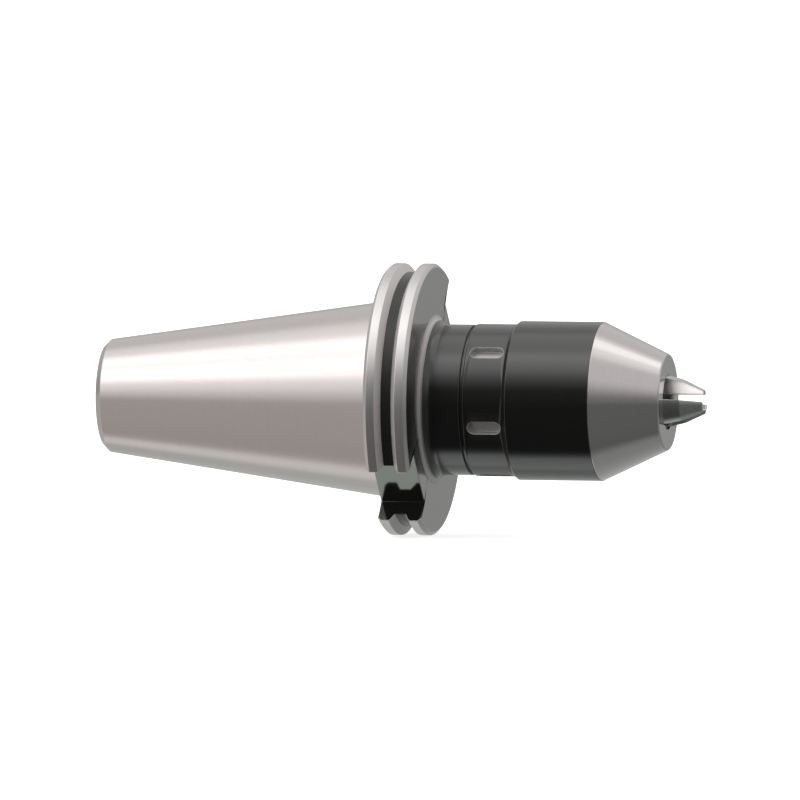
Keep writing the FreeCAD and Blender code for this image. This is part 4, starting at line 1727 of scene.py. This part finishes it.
def soften(outline: Sequence[tuple[float, float]], radius: float,
           sharp: Sequence[int]) -> list[tuple[float, float, float, bool]]:
    """Round the sharp corners of a closed outline.

    Args:
        outline: its points as (height, side).
        radius: how far from each sharp corner the round starts.
        sharp: numbers of the sharp corners; the last two bound the outline's back.

    Returns:
        Points as (height, side, wear, whether the next stretch is on the back).
    """
    back_start, back_end = sharp[-2:]
    result = []
    for index, point in enumerate(outline):
        on_back = back_start <= index < back_end
        if index not in sharp:
            result.append((*point, 0.0, on_back))
            continue
        here = np.array(point)
        before = np.array(outline[index - 1]) - here
        after = np.array(outline[(index + 1) % len(outline)]) - here
        back_length, ahead_length = np.linalg.norm(before), np.linalg.norm(after)
        near = min(radius, SOFT_SHARE * back_length, SOFT_SHARE * ahead_length)
        start = here + before / back_length * near
        end = here + after / ahead_length * near
        for share, wear in zip((0.0, 1 / 3, 2 / 3, 1.0), SOFT_WEAR):
            place = (1 - share) ** 2 * start + 2 * share * (1 - share) * here + share ** 2 * end
            result.append((float(place[0]), float(place[1]), wear, on_back))
    return result


@dataclass
class InnerParts:
    """Pieces inside the chuck that keep their CAD shape and take a finish."""

    finishes: dict[str, Finish] = field(default_factory=lambda: {
        "rear_seal": RUBBER, "nose_seal": RUBBER, "fixed_race": HARDENED, "moving_race": HARDENED,
        "disc_spring": HARDENED, "bearing_balls": HARDENED, "guide_dowels": HARDENED,
        "jaw_guide": HARDENED, "drive_screw": HARDENED, "lock_nut": BLACK_OXIDE,
        "nut_grub_screws": BLACK_OXIDE, "guide_snap_ring": BLACK_OXIDE, "ball_cage": BRONZE,
        "sleeve_bush": BRONZE,
    })

    def place(self) -> None:
        """Dress each inner piece."""
        for name, finish in self.finishes.items():
            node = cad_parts[name]
            material = finish.build()
            if not node.material_slots:
                node.data.materials.append(material)
            for slot in node.material_slots:
                slot.material = material
            LOG.info("%s keeps its CAD shape, in %s", name, finish.name)


# --------------------------------------------------------------------------- studio


@dataclass(frozen=True)
class Lobe:
    """One soft light of the studio, as a patch of sky.

    Attributes:
        towards: direction that it lies in.
        inner: half angle of its full strength, in degrees.
        outer: half angle where it ends, in degrees.
        strength: its radiance.
    """

    towards: tuple[float, float, float]
    inner: float
    outer: float
    strength: float


@dataclass
class Studio:
    """Pale floor, soft light and camera.

    The light comes from a white tent that is open, and so dark, towards the viewer's side.
    Pairs of numbers are where something starts and ends along one part of the direction: Y
    for tent_opening and table_edge, Z for strip_heights, and X for the others.

    Attributes:
        tent: brightness of the tent's walls.
        roof: brightness of its roof.
        roof_start: height where the roof starts to brighten.
        roof_start_ahead: the same, over the opening.
        roof_rise: height that it takes to reach full brightness.
        roof_strip: extra brightness at the top.
        opening: brightness of the opening.
        opening_left: extra brightness of the opening's left side.
        opening_right: extra brightness of its right side.
        table: brightness of the table seen from below.
        table_left: extra brightness of the table's left side.
        table_front: share of the opening's brightness that the table's front has.
    """

    azimuth: float = 12.77
    elevation: float = 3.14
    target: tuple[float, float, float] = (6.109, 0.0, -0.371)
    distance: float = 12000.0
    picture_width: float = 286.7
    sensor: float = 36.0
    nearest: float = 0.1
    farthest: float = 60.0
    floor_half: float = 6000.0
    floor_z: float = -48.95
    floor_glow: float = 0.72
    floor_rough: float = 0.9
    floor_tones: tuple[float, float] = (0.88, 0.92)
    fibre_scale: float = 900.0
    tent: float = 0.43
    tent_opening: tuple[float, float] = (0.05, -0.45)
    roof: float = 0.75
    roof_start: float = 0.05
    roof_start_ahead: float = 0.30
    roof_rise: float = 0.52
    roof_strip: float = 0.5
    strip_heights: tuple[float, float] = (0.8, 0.93)
    opening: float = 0.07
    opening_span: float = 0.12
    opening_left: float = 0.7
    left_edge: tuple[float, float] = (-0.25, -0.46)
    opening_right: float = 0.15
    right_edge: tuple[float, float] = (0.2, 0.55)
    table: float = 0.30
    table_left: float = 0.29
    table_fade: tuple[float, float] = (0.4, -0.2)
    table_front: float = 0.70
    table_edge: tuple[float, float] = (0.08, -0.25)
    horizon: float = 0.04
    key_lamp: Lobe = Lobe((-0.55, -0.42, 0.72), 13.0, 31.0, 1.0)
    side_lamp: Lobe = Lobe((-0.55, -0.72, 0.45), 6.0, 24.0, 0.45)
    roof_lamp: Lobe = Lobe((0.37, 0.21, 0.905), 4.0, 11.0, 0.33)
    table_glow: Lobe = Lobe((-0.18, 0.18, -0.96), 10.0, 20.0, 0.38)
    warm: tuple[float, ...] = (1.0, 0.93, 0.90, 1.0)
    plain: tuple[float, ...] = (1.0, 0.985, 0.98, 1.0)
    cool: tuple[float, ...] = (0.955, 1.0, 0.965, 1.0)
    white: tuple[float, ...] = (1.0, 1.0, 1.0, 1.0)
    warm_edge: tuple[float, float] = (-0.46, -0.28)
    tint_height: float = 0.1

    def camera(self) -> None:
        """Place the camera at the product view."""
        turn, tilt = math.radians(self.azimuth), math.radians(self.elevation)
        back = Vector((math.sin(turn) * math.cos(tilt), -math.cos(turn) * math.cos(tilt), math.sin(tilt)))
        data = bpy.data.cameras.new("product_camera")
        data.sensor_width = self.sensor
        data.lens = self.sensor * self.distance / self.picture_width
        data.clip_start = self.nearest
        data.clip_end = self.farthest
        camera = bpy.data.objects.new("product_camera", data)
        camera.location = (Vector(self.target) + back * self.distance) * MM
        camera.rotation_euler = (-back).to_track_quat("-Z", "Y").to_euler()
        bpy.context.scene.collection.objects.link(camera)
        bpy.context.scene.camera = camera

    def floor(self) -> None:
        """Lay the pale floor."""
        half, height = self.floor_half * MM, self.floor_z * MM
        mesh = bpy.data.meshes.new("studio_floor")
        mesh.from_pydata([(-half, -half, height), (half, -half, height),
                          (half, half, height), (-half, half, height)], [], [(0, 1, 2, 3)])
        material = bpy.data.materials.new("pale_paper")
        material.use_nodes = True
        material.node_tree.nodes.clear()
        bench = NodeBench(material.node_tree)
        fibre = bench.remap(bench.noise(bench.place(), self.fibre_scale, 3.0), 0.3, 0.7, 0.0, 1.0)
        dark, light = ((tone, tone, tone, 1.0) for tone in self.floor_tones)
        shader = bench.add("ShaderNodeBsdfPrincipled")
        bench.feed(shader.inputs["Base Color"], bench.mix_colour(fibre, dark, light))
        shader.inputs["Roughness"].default_value = self.floor_rough
        shader.inputs["Emission Color"].default_value = self.white
        shader.inputs["Emission Strength"].default_value = self.floor_glow
        bench.surface("ShaderNodeOutputMaterial", shader.outputs[0])
        mesh.materials.append(material)
        plane = bpy.data.objects.new("studio_floor", mesh)
        plane.visible_glossy = False
        plane.visible_diffuse = False
        bpy.context.scene.collection.objects.link(plane)

    def glow(self, bench: NodeBench, way: bpy.types.NodeSocket, lobe: Lobe) -> bpy.types.NodeSocket:
        """Radiance that one lamp adds to the sky.

        Args:
            bench: where its nodes go.
            way: direction that the sky is seen in.
            lobe: the lamp.

        Returns:
            The radiance's socket.
        """
        dot = bench.add("ShaderNodeVectorMath", operation="DOT_PRODUCT")
        bench.feed(dot.inputs[0], way)
        dot.inputs[1].default_value = Vector(lobe.towards).normalized()
        return bench.remap(dot.outputs["Value"], math.cos(math.radians(lobe.outer)),
                           math.cos(math.radians(lobe.inner)), 0.0, lobe.strength)

    def radiance(self, bench: NodeBench, way: bpy.types.NodeSocket) -> bpy.types.NodeSocket:
        """Brightness of the sky in every direction.

        Args:
            bench: where its nodes go.
            way: direction that the sky is seen in.

        Returns:
            The brightness's socket.
        """
        x, y, z = bench.split(way)
        front = bench.remap(y, *self.tent_opening, 0.0, 1.0)
        gap = bench.total(bench.remap(x, *self.left_edge, 0.0, self.opening_left),
                          bench.remap(x, *self.right_edge, 0.0, self.opening_right))
        gap = bench.total(gap, self.opening)
        level = bench.remap(front, 0.0, 1.0, self.tent, gap, smooth=False)
        dark = bench.remap(gap, self.opening, self.opening + self.opening_span, 1.0, 0.0)
        start = bench.remap(bench.product(front, dark), 0.0, 1.0, self.roof_start, self.roof_start_ahead,
                            smooth=False)
        upper = bench.remap(z, start, bench.total(start, self.roof_rise), level, self.roof)
        upper = bench.total(upper, bench.remap(z, *self.strip_heights, 0.0, self.roof_strip))
        for lamp in (self.key_lamp, self.side_lamp, self.roof_lamp):
            upper = bench.total(upper, self.glow(bench, way, lamp))
        table = bench.total(bench.remap(x, *self.table_fade, 0.0, self.table_left), self.table)
        table = bench.total(table, self.glow(bench, way, self.table_glow))
        lower = bench.remap(bench.remap(y, *self.table_edge, 0.0, 1.0), 0.0, 1.0, table,
                            bench.product(gap, self.table_front), smooth=False)
        return bench.remap(z, -self.horizon, self.horizon, lower, upper)

    def tint(self, bench: NodeBench, way: bpy.types.NodeSocket) -> bpy.types.NodeSocket:
        """Colour of the sky in every direction.

        Args:
            bench: where its nodes go.
            way: direction that the sky is seen in.

        Returns:
            The colour's socket.
        """
        x, _, z = bench.split(way)
        below = bench.mix_colour(bench.remap(x, *self.warm_edge, 0.0, 1.0), self.warm, self.cool)
        above_table = bench.remap(z, -self.tint_height, self.tint_height, 0.0, 1.0)
        return bench.mix_colour(above_table, below, self.plain)

    def light(self) -> None:
        """Fill the sky with soft light; the camera sees it as plain white."""
        world = bpy.data.worlds.new("studio_light")
        world.use_nodes = True
        bpy.context.scene.world = world
        world.node_tree.nodes.clear()
        bench = NodeBench(world.node_tree)
        way = bench.add("ShaderNodeTexCoord").outputs["Generated"]
        sky = bench.add("ShaderNodeBackground")
        bench.feed(sky.inputs["Strength"], self.radiance(bench, way))
        bench.feed(sky.inputs["Color"], self.tint(bench, way))
        paper = bench.add("ShaderNodeBackground")
        paper.inputs["Color"].default_value = self.white
        path = bench.add("ShaderNodeLightPath")
        mix = bench.add("ShaderNodeMixShader")
        bench.feed(mix.inputs[0], path.outputs["Is Camera Ray"])
        bench.feed(mix.inputs[1], sky.outputs[0])
        bench.feed(mix.inputs[2], paper.outputs[0])
        bench.surface("ShaderNodeOutputWorld", mix.outputs[0])

    def place(self) -> None:
        """Set up floor, light, camera and the plain view transform."""
        self.floor()
        self.light()
        self.camera()
        bpy.context.scene.view_settings.view_transform = "Standard"
        LOG.info("studio is set")


def main() -> None:
    """Build every piece in order, then the studio."""
    logging.basicConfig(level=logging.INFO, format="%(message)s", force=True)
    TaperShank().place()
    RearCollar().place()
    SpannerRing().place()
    GripSleeve().place()
    NoseCone().place()
    for number, angle in enumerate(JAW_ANGLES, start=1):
        Jaw(number, angle).place()
    InnerParts().place()
    Studio().place()


if __name__ == "__main__":
    main()
